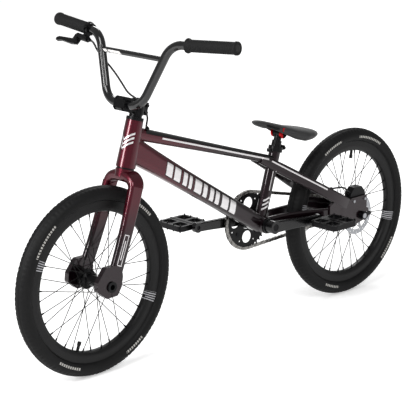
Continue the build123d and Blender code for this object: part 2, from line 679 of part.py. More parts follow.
def at_axle(x, *pieces):
    """Moves pieces made at the origin to a wheel's axle."""
    return [Pos(x, 0, AXLE_Z) * piece for piece in pieces]


# ---- drive ---------------------------------------------------------------------------
def pitch_radius(teeth):
    """The radius on which the chain's rollers sit."""
    return CHAIN_PITCH / (2 * sin(pi / teeth))


def toothed(teeth, first, inner_r):
    """A toothed ring as a flat face: rollers sit in round gaps that open outwards."""
    pitch = pitch_radius(teeth)
    face = Circle(pitch + 3.4)
    gap = ROLLER_R + 0.15
    mouth = gap + TOOTH_OPEN
    wedge = make_face(Polyline((-0.5, gap), (0, gap), (5.5, mouth), (5.5, -mouth), (0, -gap),
                               (-0.5, -gap), close=True))
    seat = Circle(gap) + wedge
    cuts = [Rot(0, 0, first + 360 / teeth * k) * (Pos(pitch, 0) * seat) for k in range(teeth)]
    return face - cuts - Circle(inner_r)


def chain_path():
    """Roller places as (x, z) points, one link apart: back along the top, round the cog, and back."""
    big, small = pitch_radius(RING_TEETH), pitch_radius(COG_TEETH)
    ring, cog = Vector(BB[0], 0, BB[2]), Vector(-AXLE_X, 0, AXLE_Z)
    span = (cog - ring).length
    tilt = asin((big - small) / span)
    base = pi + asin((ring.Z - cog.Z) / span)
    run = sqrt(span ** 2 - (big - small) ** 2)
    top, bottom = base - pi / 2 + tilt, base + pi / 2 - tilt
    on_run = run / CHAIN_PITCH
    on_cog = (bottom - top) * COG_TEETH / (2 * pi)
    on_ring = (2 * pi - bottom + top) * RING_TEETH / (2 * pi)
    stretch = (2 * on_run + on_cog + on_ring) / CHAIN_LINKS

    def on(centre, radius, turn):
        return centre + Vector(radius * cos(turn), 0, radius * sin(turn))

    points = []
    for k in range(CHAIN_LINKS):
        s = k * stretch
        if s < on_run:
            start, end = on(ring, big, top), on(cog, small, top)
            points.append(start + (end - start) * (s / on_run))
        elif s < on_run + on_cog:
            points.append(on(cog, small, top + (s - on_run) * 2 * pi / COG_TEETH))
        elif s < 2 * on_run + on_cog:
            start, end = on(cog, small, bottom), on(ring, big, bottom)
            points.append(start + (end - start) * ((s - on_run - on_cog) / on_run))
        else:
            turn = bottom + (s - 2 * on_run - on_cog) * 2 * pi / RING_TEETH
            points.append(on(ring, big, turn))
    return points, stretch


def link_plate(start, end, y, thickness, bore):
    """A flat link plate with round ends, between two roller places."""
    mid, length = (start + end) * 0.5, (end - start).length
    place = Plane(origin=(mid.X, y, mid.Z), x_dir=end - start, z_dir=(0, 1, 0))
    face = SlotCenterToCenter(length, 8.2)
    if bore:
        face = face - Pos(length / 2, 0) * Circle(bore) - Pos(-length / 2, 0) * Circle(bore)
    return extrude(place * face, thickness)


def chain():
    """Inner links with rollers, and outer links with pins, round the ring and the cog."""
    points, _ = chain_path()
    links = []
    for k, start in enumerate(points):
        end = points[(k + 1) % len(points)]
        half = INNER_WIDTH / 2
        if k % 2 == 0:
            parts = [link_plate(start, end, CHAIN_Y + half, PLATE_THICK, PIN_R + RUN),
                     link_plate(start, end, CHAIN_Y - half - PLATE_THICK, PLATE_THICK, PIN_R + RUN)]
            for at in (start, end):
                parts.append(across(at.X, at.Z, CHAIN_Y - half, CHAIN_Y + half, ROLLER_R, PIN_R + RUN))
        else:
            out = half + PLATE_THICK + RUN
            parts = [link_plate(start, end, CHAIN_Y + out, PLATE_THICK, 0),
                     link_plate(start, end, CHAIN_Y - out - PLATE_THICK, PLATE_THICK, 0)]
            for at in (start, end):
                reach = out + PLATE_THICK + 0.4
                parts.append(across(at.X, at.Z, CHAIN_Y - reach, CHAIN_Y + reach, PIN_R))
        links.append(parts[0] + parts[1:])
    return links


def first_rollers():
    """The angle of one roller on the chainring and of one on the cog, in degrees."""
    points, _ = chain_path()
    on_ring = max(points, key=lambda p: p.X)
    on_cog = min(points, key=lambda p: p.X)
    return (degrees(atan2(on_ring.Z - BB[2], on_ring.X - BB[0])),
            degrees(atan2(on_cog.Z - AXLE_Z, on_cog.X + AXLE_X)))


def chainring():
    """The chainring with four round windows and small windows between them."""
    first, _ = first_rollers()
    face = toothed(RING_TEETH, first, 25)
    triangle = make_face(Polyline((4, 0), (-3, 3.2), (-3, -3.2), close=True))
    for k in range(4):
        turn = CRANK_ANGLE + 90 * k
        face -= Rot(0, 0, turn) * (Pos(48, 0) * Circle(17.5))
        for side in (-1, 1):
            face -= Rot(0, 0, turn + 45 + side * 19.5) * (Pos(65, 0) * triangle)
        face -= Rot(0, 0, turn + 45) * (Pos(BOLT_CIRCLE, 0) * Circle(4 + SNUG))
    place = Plane(origin=(BB[0], CHAIN_Y + RING_THICK / 2, BB[2]), x_dir=(1, 0, 0), z_dir=(0, -1, 0))
    return extrude(place * face, RING_THICK)


def chainring_bolts():
    """Four bolts that clamp the chainring to the spider."""
    bolts = []
    for k in range(4):
        turn = radians(CRANK_ANGLE + 90 * k + 45)
        x, z = BB[0] + BOLT_CIRCLE * cos(turn), BB[2] + BOLT_CIRCLE * sin(turn)
        inner = CHAIN_Y + RING_THICK / 2
        bolts.append(across(x, z, -CRANK_INNER, inner, 4) + across(x, z, inner, inner + 1.6, 6))
    return bolts


def rear_cog():
    """The driver with its cog, which turns on the axle beside the hub."""
    _, first = first_rollers()
    place = Plane(origin=(-AXLE_X, CHAIN_Y + RING_THICK / 2, AXLE_Z), x_dir=(1, 0, 0), z_dir=(0, -1, 0))
    cog = extrude(place * toothed(COG_TEETH, first, DRIVER_R - 1), RING_THICK)
    body = across(-AXLE_X, AXLE_Z, DRIVER_OUT, HUB_RIGHT - 0.3, DRIVER_R, REAR_AXLE_R + RUN)
    return body + cog


# ---- cranks and pedals ------------------------------------------------------------
def crank_point(side, reach, y):
    """A point along a crank arm; the right arm (side -1) points forward."""
    turn = radians(CRANK_ANGLE)
    return (BB[0] - side * reach * cos(turn), side * y, BB[2] - side * reach * sin(turn))


def crank_spindle():
    """The spindle between the arms, with the bolt in each end."""
    bar = across(BB[0], BB[2], -CRANK_OUTER + 4, CRANK_OUTER - 4, SPINDLE_R, 8)
    bolts = []
    for side in (-1, 1):
        thread = across(BB[0], BB[2], side * (CRANK_OUTER - 20), side * (CRANK_OUTER - 4), 8 - SNUG)
        head = across(BB[0], BB[2], side * (CRANK_OUTER - 4), side * (CRANK_OUTER - 1), 10)
        bolts.append(thread + head)
    return [bar] + bolts


def crank_arm(side):
    """A crank arm from the spindle to the pedal; side -1 is the right one."""
    mid_in = (CRANK_INNER + CRANK_OUTER) / 2
    mid_out = (PEDAL_FACE_IN + PEDAL_FACE_OUT) / 2
    sizes = [(4, mid_in, 14, 33), (45, mid_in, 13.5, 30), (CRANK_LENGTH - 55, mid_out - 1, 12, 26),
             (CRANK_LENGTH - 4, mid_out, 12, 25)]
    arm = strut([(*crank_point(side, reach, y), wide, deep) for reach, y, wide, deep in sizes],
                (0, 1, 0), 0.25)
    arm += across(BB[0], BB[2], side * (BB_SHELL_HALF + BB_CUP_WIDTH + RUN), side * CRANK_OUTER, 18)
    end = crank_point(side, CRANK_LENGTH, 0)
    arm += across(end[0], end[2], side * PEDAL_FACE_IN, side * PEDAL_FACE_OUT, 14)
    if side < 0:
        face = Circle(24)
        for k in range(4):
            spoke = Pos(BOLT_CIRCLE / 2 + 4, 0) * Rectangle(BOLT_CIRCLE, 13)
            spoke += Pos(BOLT_CIRCLE + 3, 0) * Circle(8)
            face += Rot(0, 0, CRANK_ANGLE + 45 + 90 * k) * spoke
        place = Plane(origin=(BB[0], CHAIN_Y - RING_THICK / 2, BB[2]), x_dir=(1, 0, 0), z_dir=(0, -1, 0))
        arm += extrude(place * face, CRANK_INNER + CHAIN_Y - RING_THICK / 2 + 1.5)
        for k in range(4):
            turn = radians(CRANK_ANGLE + 90 * k + 45)
            x, z = BB[0] + BOLT_CIRCLE * cos(turn), BB[2] + BOLT_CIRCLE * sin(turn)
            arm -= across(x, z, -CRANK_INNER, -40, 4 + SNUG)
    arm -= across(BB[0], BB[2], side * 30, side * (CRANK_OUTER - 4), SPINDLE_R + SNUG)
    arm -= across(BB[0], BB[2], side * (CRANK_OUTER - 4), side * (CRANK_OUTER + 2), 10 + SNUG)
    return arm - across(end[0], end[2], side * 50, side * 80, PEDAL_AXLE_R + SNUG)


def pedal_axles():
    """The two pedal axles, screwed into the arms."""
    made = []
    for side in (-1, 1):
        x, _, z = crank_point(side, CRANK_LENGTH, 0)
        axle = across(x, z, side * (PEDAL_FACE_IN + 2), side * (PEDAL_MID + PEDAL_WIDE / 2 - 4), PEDAL_AXLE_R)
        made.append(axle + across(x, z, side * PEDAL_FACE_OUT, side * (PEDAL_FACE_OUT + 2.5), 9))
    return made


def pedal(side):
    """A flat platform pedal with a bored middle, windows and grip pins."""
    x, _, z = crank_point(side, CRANK_LENGTH, 0)
    outline = RectangleRounded(PEDAL_LONG, PEDAL_WIDE, 14)
    face = outline
    for i in (-1, 1):
        for j in (-1, 1):
            face -= Pos(i * 27, j * 21.5) * RectangleRounded(30, 33, 6)
    place = Plane(origin=(x, side * PEDAL_MID, z - PEDAL_THICK / 2), z_dir=(0, 0, 1))
    body = extrude(place * face, PEDAL_THICK)
    inner, outer = PEDAL_MID - PEDAL_WIDE / 2, PEDAL_MID + PEDAL_WIDE / 2
    body += across(x, z, side * inner, side * outer, PEDAL_THICK / 2 + 1.5)
    pins = [(i * 44, j * 38) for i in (-1, 1) for j in (-1, -0.33, 0.33, 1)]
    for i, j in pins:
        body += rod((x + i, side * PEDAL_MID + j, z - PEDAL_THICK / 2 - 4),
                    (x + i, side * PEDAL_MID + j, z + PEDAL_THICK / 2 + 4), 1.8)
    return body - across(x, z, side * (inner - 2), side * (outer - 4 + RUN), PEDAL_AXLE_R + RUN)


# ---- steering ----------------------------------------------------------------------
def fork_crown():
    """The arched bridge over the tyre, from shoulder to shoulder."""
    x, z = HEAD_BOTTOM_X, HEAD_BOTTOM_Z
    half = [(x + 10, 49, z - 46.6, 42, 21), (x + 5, 39, z - 26.6, 44, 24), (x + 4, 0, z - 17.6, 46, 30)]
    other = [(a, -y, b, wide, deep) for a, y, b, wide, deep in half[:2]]
    return strut(other + half[::-1], (1, 0, 0), 0.4)


def fork_leg():
    """The left blade, from the shoulder down to the axle."""
    x, z, out = HEAD_BOTTOM_X, HEAD_BOTTOM_Z, FRONT_HALF
    return strut([(x + 9, 48.5, z - 40.6, 42, 20), (x + 32, 51, z - 107.6, 40, 20),
                  (AXLE_X - 41, out + 4, AXLE_Z + 79, 38, 18), (AXLE_X - 13, out + 7, AXLE_Z + 16, 40, 14)],
                 (1, 0, 0), 0.4)


def fork_end():
    """The wedge at the bottom of the left blade that clamps the axle."""
    outline = [(-33, 52), (-38, 20), (-33, -6), (-20, -27), (16, -28), (46, -4), (43, 20), (17, 52)]
    return plate([(AXLE_X + x, AXLE_Z + z) for x, z in outline], FRONT_HALF, FRONT_HALF + FORK_END_THICK, 8)


def fork():
    """Steerer, crown, blades and axle clamps in one moulding."""
    crown_top = -CROWN_RACE
    side_piece = fork_leg() + fork_end()
    side_piece -= across(AXLE_X, AXLE_Z, FRONT_HALF - 12, FRONT_HALF, 44)
    side_piece -= across(AXLE_X, AXLE_Z, FRONT_HALF - 8, FRONT_HALF + 40, FRONT_AXLE_R + SNUG)
    side_piece -= across(AXLE_X, AXLE_Z, FRONT_HALF + FORK_END_THICK, FRONT_HALF + 40, FRONT_AXLE_R + 6)
    side_piece -= fork_pinch_bore()
    body = fork_crown() - on_steer(crown_top, crown_top + 30, 60)
    body += on_steer(crown_top - 22, CAP_AT - 1, STEERER_R)
    body += on_steer(crown_top - 20, crown_top, HEAD_R_LOW - 1)
    body += side_piece
    body += mirrored(side_piece)
    return body - on_steer(crown_top - 40, CAP_AT, STEERER_BORE)


def fork_pinch_bore():
    """The slit below the left axle clamp and the stepped hole of its bolt."""
    mid = FRONT_HALF + FORK_END_THICK / 2
    z = AXLE_Z - PINCH_DROP
    slit = Pos(AXLE_X, mid, AXLE_Z - 20) * Box(1.6, FORK_END_THICK + 2, 34)
    shank = rod((AXLE_X - 22, mid, z), (AXLE_X + 12, mid, z), PINCH_BOLT_R + SNUG)
    head = rod((AXLE_X + 12, mid, z), (AXLE_X + 60, mid, z), PINCH_HEAD_R + SNUG)
    return slit + shank + head


def fork_pinch_bolts():
    """A socket bolt across the slit of each fork end."""
    mid = FRONT_HALF + FORK_END_THICK / 2
    z = AXLE_Z - PINCH_DROP
    shank = rod((AXLE_X - 20, mid, z), (AXLE_X + 12, mid, z), PINCH_BOLT_R)
    bolt = shank + rod((AXLE_X + 12, mid, z), (AXLE_X + 18, mid, z), PINCH_HEAD_R)
    return [bolt, mirrored(bolt)]


def front_axle():
    """The hollow front axle with a cap at each end."""
    end = FRONT_HALF + FORK_END_THICK
    axle = across(AXLE_X, AXLE_Z, -end, end, FRONT_AXLE_R, FRONT_AXLE_BORE)
    for side in (1, -1):
        axle += across(AXLE_X, AXLE_Z, side * end, side * (end + AXLE_CAP), FRONT_AXLE_R + 4, FRONT_AXLE_BORE)
    return axle


def headset_covers():
    """The ring on the crown under the lower bearing, and the cover over the upper one."""
    race = on_steer(-CROWN_RACE, -RUN, HEAD_R_LOW - 3, STEERER_R + SNUG)
    cover = on_steer(COVER_AT, SPACER_AT, HEAD_R_TOP, STEERER_R + SNUG)
    return [race, cover]


def steerer_spacers():
    """Two rings between the headset cover and the stem."""
    half = SPACER_TALL / 2
    return [on_steer(SPACER_AT, SPACER_AT + half, SPACER_R, STEERER_R + SNUG),
            on_steer(SPACER_AT + half, STEM_AT, SPACER_R, STEERER_R + SNUG)]


def stem_place():
    """The stem's own plane: x forward at a right angle to the steerer, z up along it."""
    forward = Vector(0, 1, 0).cross(UP_STEER)
    return Plane(origin=STEER.origin + UP_STEER * (STEM_AT + STEM_TALL / 2), x_dir=forward, z_dir=UP_STEER)


def stem_bolt_places():
    """The four faceplate bolts, as (y, z) in the stem's plane."""
    return [(y, STEM_RISE + z) for y in (-STEM_HALF + 5, STEM_HALF - 5) for z in (-14.0, 14.0)]


def stem():
    """The stem body: it clamps the steerer at the back and carries the bar at the front."""
    half, reach = STEM_HALF, STEM_REACH
    body = Cylinder(STEM_CLAMP_R, STEM_TALL)
    body += Pos(reach / 2, 0, 0) * Box(reach, 28, 24)
    body += Pos(reach - 7, 0, STEM_RISE) * Box(14, 2 * half, 2 * STEM_FACE)
    body += Pos(-STEM_CLAMP_R - 3, 0, 0) * Box(16, 16, STEM_TALL - 2)
    body -= Pos(-STEM_CLAMP_R - 6, 0, 0) * Box(24, 1.6, STEM_TALL + 2)
    body -= Cylinder(STEERER_R + SNUG, STEM_TALL + 2)
    body -= Pos(reach, 0, STEM_RISE) * Rot(90, 0, 0) * Cylinder(BAR_R + SNUG, 2 * half + 2)
    for y, z in stem_bolt_places():
        body -= Pos(reach - 6, y, z) * Rot(0, 90, 0) * Cylinder(PINCH_BOLT_R + SNUG, 14)
    for z in (-9, 9):
        body -= Pos(-STEM_CLAMP_R - 6, 0, z) * Rot(90, 0, 0) * Cylinder(PINCH_BOLT_R + SNUG, 20)
    return stem_place() * body


def stem_faceplate():
    """The front half of the bar clamp."""
    reach = STEM_REACH
    plate_x = reach + 1.0
    body = Pos(plate_x + 8, 0, STEM_RISE) * Box(16, 2 * STEM_HALF, 2 * STEM_FACE)
    front = Pos(plate_x + 16, 0, STEM_RISE)
    for z in (-1, 1):
        body -= front * Pos(0, 0, z * STEM_FACE) * Rot(0, 45, 0) * Box(9, 2 * STEM_HALF + 2, 9)
    body -= Pos(reach, 0, STEM_RISE) * Rot(90, 0, 0) * Cylinder(BAR_R + SNUG, 2 * STEM_HALF + 2)
    for y, z in stem_bolt_places():
        body -= Pos(plate_x + 4, y, z) * Rot(0, 90, 0) * Cylinder(PINCH_BOLT_R + SNUG, 12)
        body -= Pos(plate_x + 14, y, z) * Rot(0, 90, 0) * Cylinder(PINCH_HEAD_R + SNUG, 12)
    return stem_place() * body


def stem_bolts():
    """Four faceplate bolts and the two that clamp the steerer."""
    bolts = []
    head_at = STEM_REACH + 1.0 + 8
    for y, z in stem_bolt_places():
        long = head_at - STEM_REACH + 12
        shank = Pos(head_at - long / 2, y, z) * Rot(0, 90, 0) * Cylinder(PINCH_BOLT_R, long)
        head = Pos(head_at + 2.2, y, z) * Rot(0, 90, 0) * Cylinder(PINCH_HEAD_R, 4.4)
        bolts.append(stem_place() * (shank + head))
    for z in (-9, 9):
        shank = Pos(-STEM_CLAMP_R - 6, -8 + 10, z) * Rot(90, 0, 0) * Cylinder(PINCH_BOLT_R, 20)
        head = Pos(-STEM_CLAMP_R - 6, 10, z) * Rot(90, 0, 0) * Cylinder(PINCH_HEAD_R, 4)
        bolts.append(stem_place() * (shank + head))
    return bolts


def stem_top_cap():
    """The cap on the stem, with the bolt down to the expander inside the steerer."""
    cap = on_steer(CAP_AT, CAP_AT + TOP_CAP_TALL, SPACER_R, 3 + SNUG)
    expander = on_steer(CAP_AT - 34, CAP_AT - 12, STEERER_BORE - SNUG, 3 + SNUG)
    bolt = on_steer(CAP_AT - 34, CAP_AT + TOP_CAP_TALL, 3) + on_steer(
        CAP_AT + TOP_CAP_TALL, CAP_AT + TOP_CAP_TALL + 3, 5)
    return [cap, expander, bolt]


def bar_centre():
    """The middle of the bar where the stem holds it."""
    place = stem_place()
    return place.origin + place.x_dir * STEM_REACH + UP_STEER * STEM_RISE


def bar_path(side):
    """The bar's middle line on one side, as its corner points."""
    mid = bar_centre()
    return [mid, Vector(mid.X, side * BAR_LOW_Y, mid.Z), Vector(BAR_TOP[0], side * BAR_TOP[1], BAR_TOP[2]),
            Vector(BAR_END[0], side * BAR_END[1], BAR_END[2])]


def bar_half(side, radius):
    """Half of the bar as a solid of the given radius."""
    path = FilletPolyline(*bar_path(side), radius=[BAR_LOW_BEND, BAR_TOP_BEND])
    return sweep(Plane(origin=path @ 0, z_dir=path % 0) * Circle(radius), path)


def crossbar_ends():
    """Where the crossbar's middle line meets the risers' middle lines."""
    low, top = bar_path(1)[1], bar_path(1)[2]
    share = (CROSSBAR_Z - low.Z) / (top.Z - low.Z)
    point = low + (top - low) * share
    return point, Vector(point.X, -point.Y, point.Z)


def handlebar():
    """The riser bar with its crossbar."""
    left, right = crossbar_ends()
    body = bar_half(1, BAR_R) + bar_half(-1, BAR_R) + rod(left, right, CROSSBAR_R)
    body -= bar_half(1, BAR_R - BAR_WALL)
    body -= bar_half(-1, BAR_R - BAR_WALL)
    return max(body.solids(), key=lambda solid: solid.volume)


def grip_way(side):
    """The bar's end and the unit vector from there back along the grip."""
    top, end = bar_path(side)[2], bar_path(side)[3]
    return end, (top - end).normalized()


def grip(side):
    """A soft grip with a flange at its inner end and a rounded outer end."""
    end, back = grip_way(side)
    body = rod(end - back * 4, end + back * GRIP_LONG, GRIP_R)
    body += rod(end + back * (GRIP_LONG - 4), end + back * GRIP_LONG, GRIP_FLANGE_R)
    body += rod(end - back * 4, end + back * 2, GRIP_R + 1.5)
    body -= rod(end, end + back * (GRIP_LONG + 1), BAR_R + SNUG)
    return body - rod(end - back * 5, end, BAR_R - BAR_WALL)


def bar_end_plugs():
    """A plug in each end of the bar."""
    made = []
    for side in (1, -1):
        end, back = grip_way(side)
        made.append(rod(end - back * 4, end + back * 14, BAR_R - BAR_WALL - SNUG))
    return made


def lever_place():
    """The brake lever's plane on the right bar: x along the bar outwards, y down and forward."""
    end, back = grip_way(-1)
    out = back * -1
    tilt = radians(LEVER_DROP)
    drop = Vector(cos(tilt), 0, -sin(tilt))
    drop = (drop - out * drop.dot(out)).normalized()
    return Plane(origin=end + back * LEVER_IN, x_dir=out, z_dir=out.cross(drop))


def clamp_half(side):
    """One half of the lever's clamp: side +1 faces the master cylinder."""
    ring = Rot(0, 90, 0) * Cylinder(CLAMP_R, CLAMP_WIDE) + Box(CLAMP_WIDE, 14, 2 * CLAMP_LUG)
    ring -= Pos(0, side * (CLAMP_GAP / 2 - 20), 0) * Box(40, 40, 60)
    for z in (-CLAMP_BOLT_AT, CLAMP_BOLT_AT):
        ring -= Pos(0, 0, z) * Rot(90, 0, 0) * Cylinder(CLAMP_BOLT_R + SNUG, 30)
    return ring


def lever_body():
    """The master cylinder with half of its clamp and the ears for the lever."""
    x, y = PIVOT
    body = clamp_half(1) + Pos(0, 16, 0) * Box(CLAMP_WIDE, 16, 14)
    body += Pos(8, CYLINDER_AT, 0) * Rot(0, 90, 0) * Cylinder(CYLINDER_R, 50)
    body += Pos((INLET_END - 16) / 2, CYLINDER_AT, 0) * Rot(0, 90, 0) * Cylinder(4.2, -16 - INLET_END)
    body += Pos(x - 2, y - 7, 0) * Box(14, 22, 2 * BLADE_HALF + 8)
    body -= Pos(x + 6, y + 4.5, 0) * Box(32, 24, 2 * BLADE_HALF + 2 * RUN)
    body -= Pos(x, y, 0) * Cylinder(PIVOT_R + SNUG, 40)
    body -= Rot(0, 90, 0) * Cylinder(BAR_R + SNUG, 80)
    return max((lever_place() * body).solids(), key=lambda solid: solid.volume)


def lever_clamp():
    """The other half of the clamp, its two bolts and the lever's pivot pin."""
    band = clamp_half(-1) - Rot(0, 90, 0) * Cylinder(BAR_R + SNUG, 80)
    pieces = [max(band.solids(), key=lambda solid: solid.volume)]
    for z in (-CLAMP_BOLT_AT, CLAMP_BOLT_AT):
        shank = Pos(0, -0.5, z) * Rot(90, 0, 0) * Cylinder(CLAMP_BOLT_R, 13)
        pieces.append(shank + Pos(0, -8.5, z) * Rot(90, 0, 0) * Cylinder(3.6, 3))
    pieces.append(Pos(PIVOT[0], PIVOT[1], 0) * Cylinder(PIVOT_R, 2 * BLADE_HALF + 8))
    return [lever_place() * piece for piece in pieces]


def lever_blade():
    """The finger lever, which hooks outwards in front of the grip."""
    x, y = PIVOT
    outline = [(x - 7, y - 6), (x - 7, y + 6), (x + 10, y + 9), (x + 55, y + 9), (x + 76, y + 14),
               (x + 80, y + 7), (x + 70, y + 1), (x + 50, y - 1), (x + 14, y - 5), (x + 6, y - 5.5)]
    edge = FilletPolyline(*outline, radius=2.2, close=True)
    blade = extrude(make_face(edge), amount=2 * BLADE_HALF - 0.4)
    blade = Pos(0, 0, -BLADE_HALF + 0.2) * blade
    blade -= Pos(x, y, 0) * Cylinder(PIVOT_R + RUN, 40)
    return lever_place() * blade


def front_hose_points():
    """The front hose's route, which starts straight out of the master cylinder."""
    place = lever_place()
    inlet = place.origin + place.x_dir * INLET_END + place.y_dir * CYLINDER_AT
    straight = inlet - place.x_dir * 14
    return [tuple(inlet), tuple(straight)] + HOSE_FRONT


# ---- seat ------------------------------------------------------------------------------
def post_head():
    """The middle of the seatpost's head, on the seat tube's axis."""
    return Vector(seat_x(POST_HEAD_Z), 0, POST_HEAD_Z)


def seatpost():
    """The seatpost with a round head that the saddle clamp turns on."""
    top = post_head()
    post = seat_rod(POST_BOTTOM, POST_SHOULDER, POST_R)
    neck = seat_rod(POST_SHOULDER - 14, POST_HEAD_Z, POST_R - 3.1)
    head = across(top.X, top.Z, -POST_HEAD_HALF, POST_HEAD_HALF, POST_HEAD_R)
    hollow = seat_rod(POST_BOTTOM, POST_SHOULDER - 6, POST_R - 2.5)
    trim = Pos(top.X, 0, top.Z + 22) * Box(60, 60, 30)
    return post + neck + head - hollow - trim


def saddle_place():
    """The saddle clamp's plane: its origin is the post head, and x points along the saddle."""
    tilt = radians(SADDLE_TILT)
    return Plane(origin=post_head(), x_dir=(cos(tilt), 0, sin(tilt)), z_dir=(-sin(tilt), 0, cos(tilt)))


def saddle_clamp():
    """Cheeks on both sides of the post head, joined over it, that hold the two rails."""
    pieces = []
    for side in (1, -1):
        y0 = POST_HEAD_HALF + RUN
        cheek = Pos(0, side * (y0 + 3), 0) * Rot(90, 0, 0) * Cylinder(13, 6)
        cheek += Pos(0, side * (y0 + 8), RAIL_Z) * Box(34, 16, 9.6)
        cheek -= Pos(0, side * RAIL_HALF, RAIL_Z) * Rot(0, 90, 0) * Cylinder(RAIL_R + SNUG, 60)
        pieces.append(cheek)
    bridge = Pos(0, 0, RAIL_Z + 1.5) * Box(30, 2 * (POST_HEAD_HALF + 4), 4)
    bolt = Rot(90, 0, 0) * Cylinder(2.5, 2 * (POST_HEAD_HALF + 9))
    body = pieces[0] + pieces[1] + bridge + bolt
    body -= Rot(90, 0, 0) * Cylinder(2.5 + SNUG, 2 * POST_HEAD_HALF + 2 * RUN)
    return saddle_place() * body


def rail_pair(radius):
    """The two rails as solids of a given radius, in the saddle's plane."""
    rails = []
    for side in (1, -1):
        points = [(88, side * 8, 14), (52, side * RAIL_HALF, RAIL_Z), (-55, side * RAIL_HALF, RAIL_Z),
                  (-100, side * (RAIL_HALF + 6), 22)]
        path = FilletPolyline(*points, radius=22)
        rails.append(sweep(Plane(origin=path @ 0, z_dir=path % 0) * Circle(radius), path))
    return rails


def saddle_rails():
    """Two rails from the nose to the back of the saddle's shell."""
    return [saddle_place() * rail for rail in rail_pair(RAIL_R)]


def saddle():
    """The padded saddle: a narrow nose, a wide back whose wings hang down, and a hollow for the clamp."""
    stations = [(108, 8, 17, 9), (98, 13, 20.5, 5), (70, 18, 23, 3), (35, 23, 23.5, 1), (0, 33, 24, -6),
                (-30, 47, 25, -11), (-60, 60, 28, -9), (-85, 58, 30.5, 4), (-107, 44, 31.5, 10),
                (-128, 28, 30, 14), (-142, 14, 27, 17)]
    faces = []
    for x, half, top, low in stations:
        place = Plane(origin=(x, 0, (top + low) / 2), x_dir=(0, 1, 0), z_dir=(1, 0, 0))
        faces.append(place * Ellipse(half, (top - low) / 2))
    hollow_top = RAIL_Z + SADDLE_ROOM
    hollow_half = RAIL_HALF + RAIL_R + 5.5
    body = loft(faces) - rail_pair(RAIL_R + SNUG)
    body -= Pos(-9, 0, hollow_top - 30) * Box(142, 2 * hollow_half, 60)
    return saddle_place() * max(body.solids(), key=lambda solid: solid.volume)


def main():
    """Builds every node."""
    os.makedirs("parts", exist_ok=True)
    save("main_frame", main_frame())
    save("headset_bearings", *headset_bearings())
    save("bottom_bracket_cups", *bottom_bracket_cups())
    save("seat_clamp", *seat_clamp())
    save("rear_axle", rear_axle())
    save("chain_tensioners", *chain_tensioners())
    save("rear_axle_nuts", *rear_axle_nuts())
    save("brake_caliper", brake_caliper())
    save("caliper_bolts", *caliper_bolts())
    save("brake_pad_left", brake_pad(1))
    save("brake_pad_right", brake_pad(-1))
    save("brake_hose_rear", hose(HOSE_REAR, HOSE_R))
    save("hose_grommets", *hose_grommets())

    save("fork", fork())
    save("fork_pinch_bolts", *fork_pinch_bolts())
    save("front_axle", front_axle())
    save("headset_covers", *headset_covers())
    save("steerer_spacers", *steerer_spacers())
    save("stem", stem())
    save("stem_faceplate", stem_faceplate())
    save("stem_bolts", *stem_bolts())
    save("stem_top_cap", *stem_top_cap())
    save("handlebar", handlebar())
    save("grip_left", grip(1))
    save("grip_right", grip(-1))
    save("bar_end_plugs", *bar_end_plugs())
    save("lever_body", lever_body())
    save("lever_clamp", *lever_clamp())
    save("lever_blade", lever_blade())
    save("brake_hose_front", hose(front_hose_points(), HOSE_R))

    front = (FRONT_FLANGE, -FRONT_FLANGE, FRONT_PHASE)
    save("front_hub", *at_axle(AXLE_X, front_hub(FRONT_PHASE)))
    save("front_hub_bearings", *at_axle(AXLE_X, *front_hub_bearings()))
    save("front_spokes", *at_axle(AXLE_X, *spokes(*front)))
    save("front_nipples", *at_axle(AXLE_X, *nipples(*front)))
    save("front_rim", *at_axle(AXLE_X, rim(*front, VALVE_FRONT)))
    save("front_tyre", *at_axle(AXLE_X, tyre()))
    save("front_inner_tube", *at_axle(AXLE_X, inner_tube(VALVE_FRONT)))

    rear = (REAR_FLANGE_LEFT, REAR_FLANGE_RIGHT, REAR_PHASE)
    save("rear_hub", *at_axle(-AXLE_X, rear_hub(REAR_PHASE)))
    save("rear_hub_bearings", *at_axle(-AXLE_X, *rear_hub_bearings()))
    save("rear_spokes", *at_axle(-AXLE_X, *spokes(*rear)))
    save("rear_nipples", *at_axle(-AXLE_X, *nipples(*rear)))
    save("rear_rim", *at_axle(-AXLE_X, rim(*rear, VALVE_REAR)))
    save("rear_tyre", *at_axle(-AXLE_X, tyre()))
    save("rear_inner_tube", *at_axle(-AXLE_X, inner_tube(VALVE_REAR)))
    save("brake_rotor", *at_axle(-AXLE_X, *brake_rotor()))

    save("rear_cog", rear_cog())
    save("chain", *chain())
    save("crank_spindle", *crank_spindle())
    save("crank_arm_right", crank_arm(-1))
    save("crank_arm_left", crank_arm(1))
    save("chainring", chainring())
    save("chainring_bolts", *chainring_bolts())
    save("pedal_axles", *pedal_axles())
    save("pedal_right", pedal(-1))
    save("pedal_left", pedal(1))

    save("seatpost", seatpost())
    save("saddle_clamp", saddle_clamp())
    save("saddle_rails", *saddle_rails())
    save("saddle", saddle())
    print("hose corner radii", [round(r) for r in corner_radii(front_hose_points()) + corner_radii(HOSE_REAR)])
    print("chain fits its links with a stretch of", round(chain_path()[1], 5))


main()
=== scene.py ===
"""A race bicycle with 20 inch wheels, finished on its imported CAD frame. Metres, +X forward, +Y left, +Z up."""
import json
from math import cos, pi, radians, sin

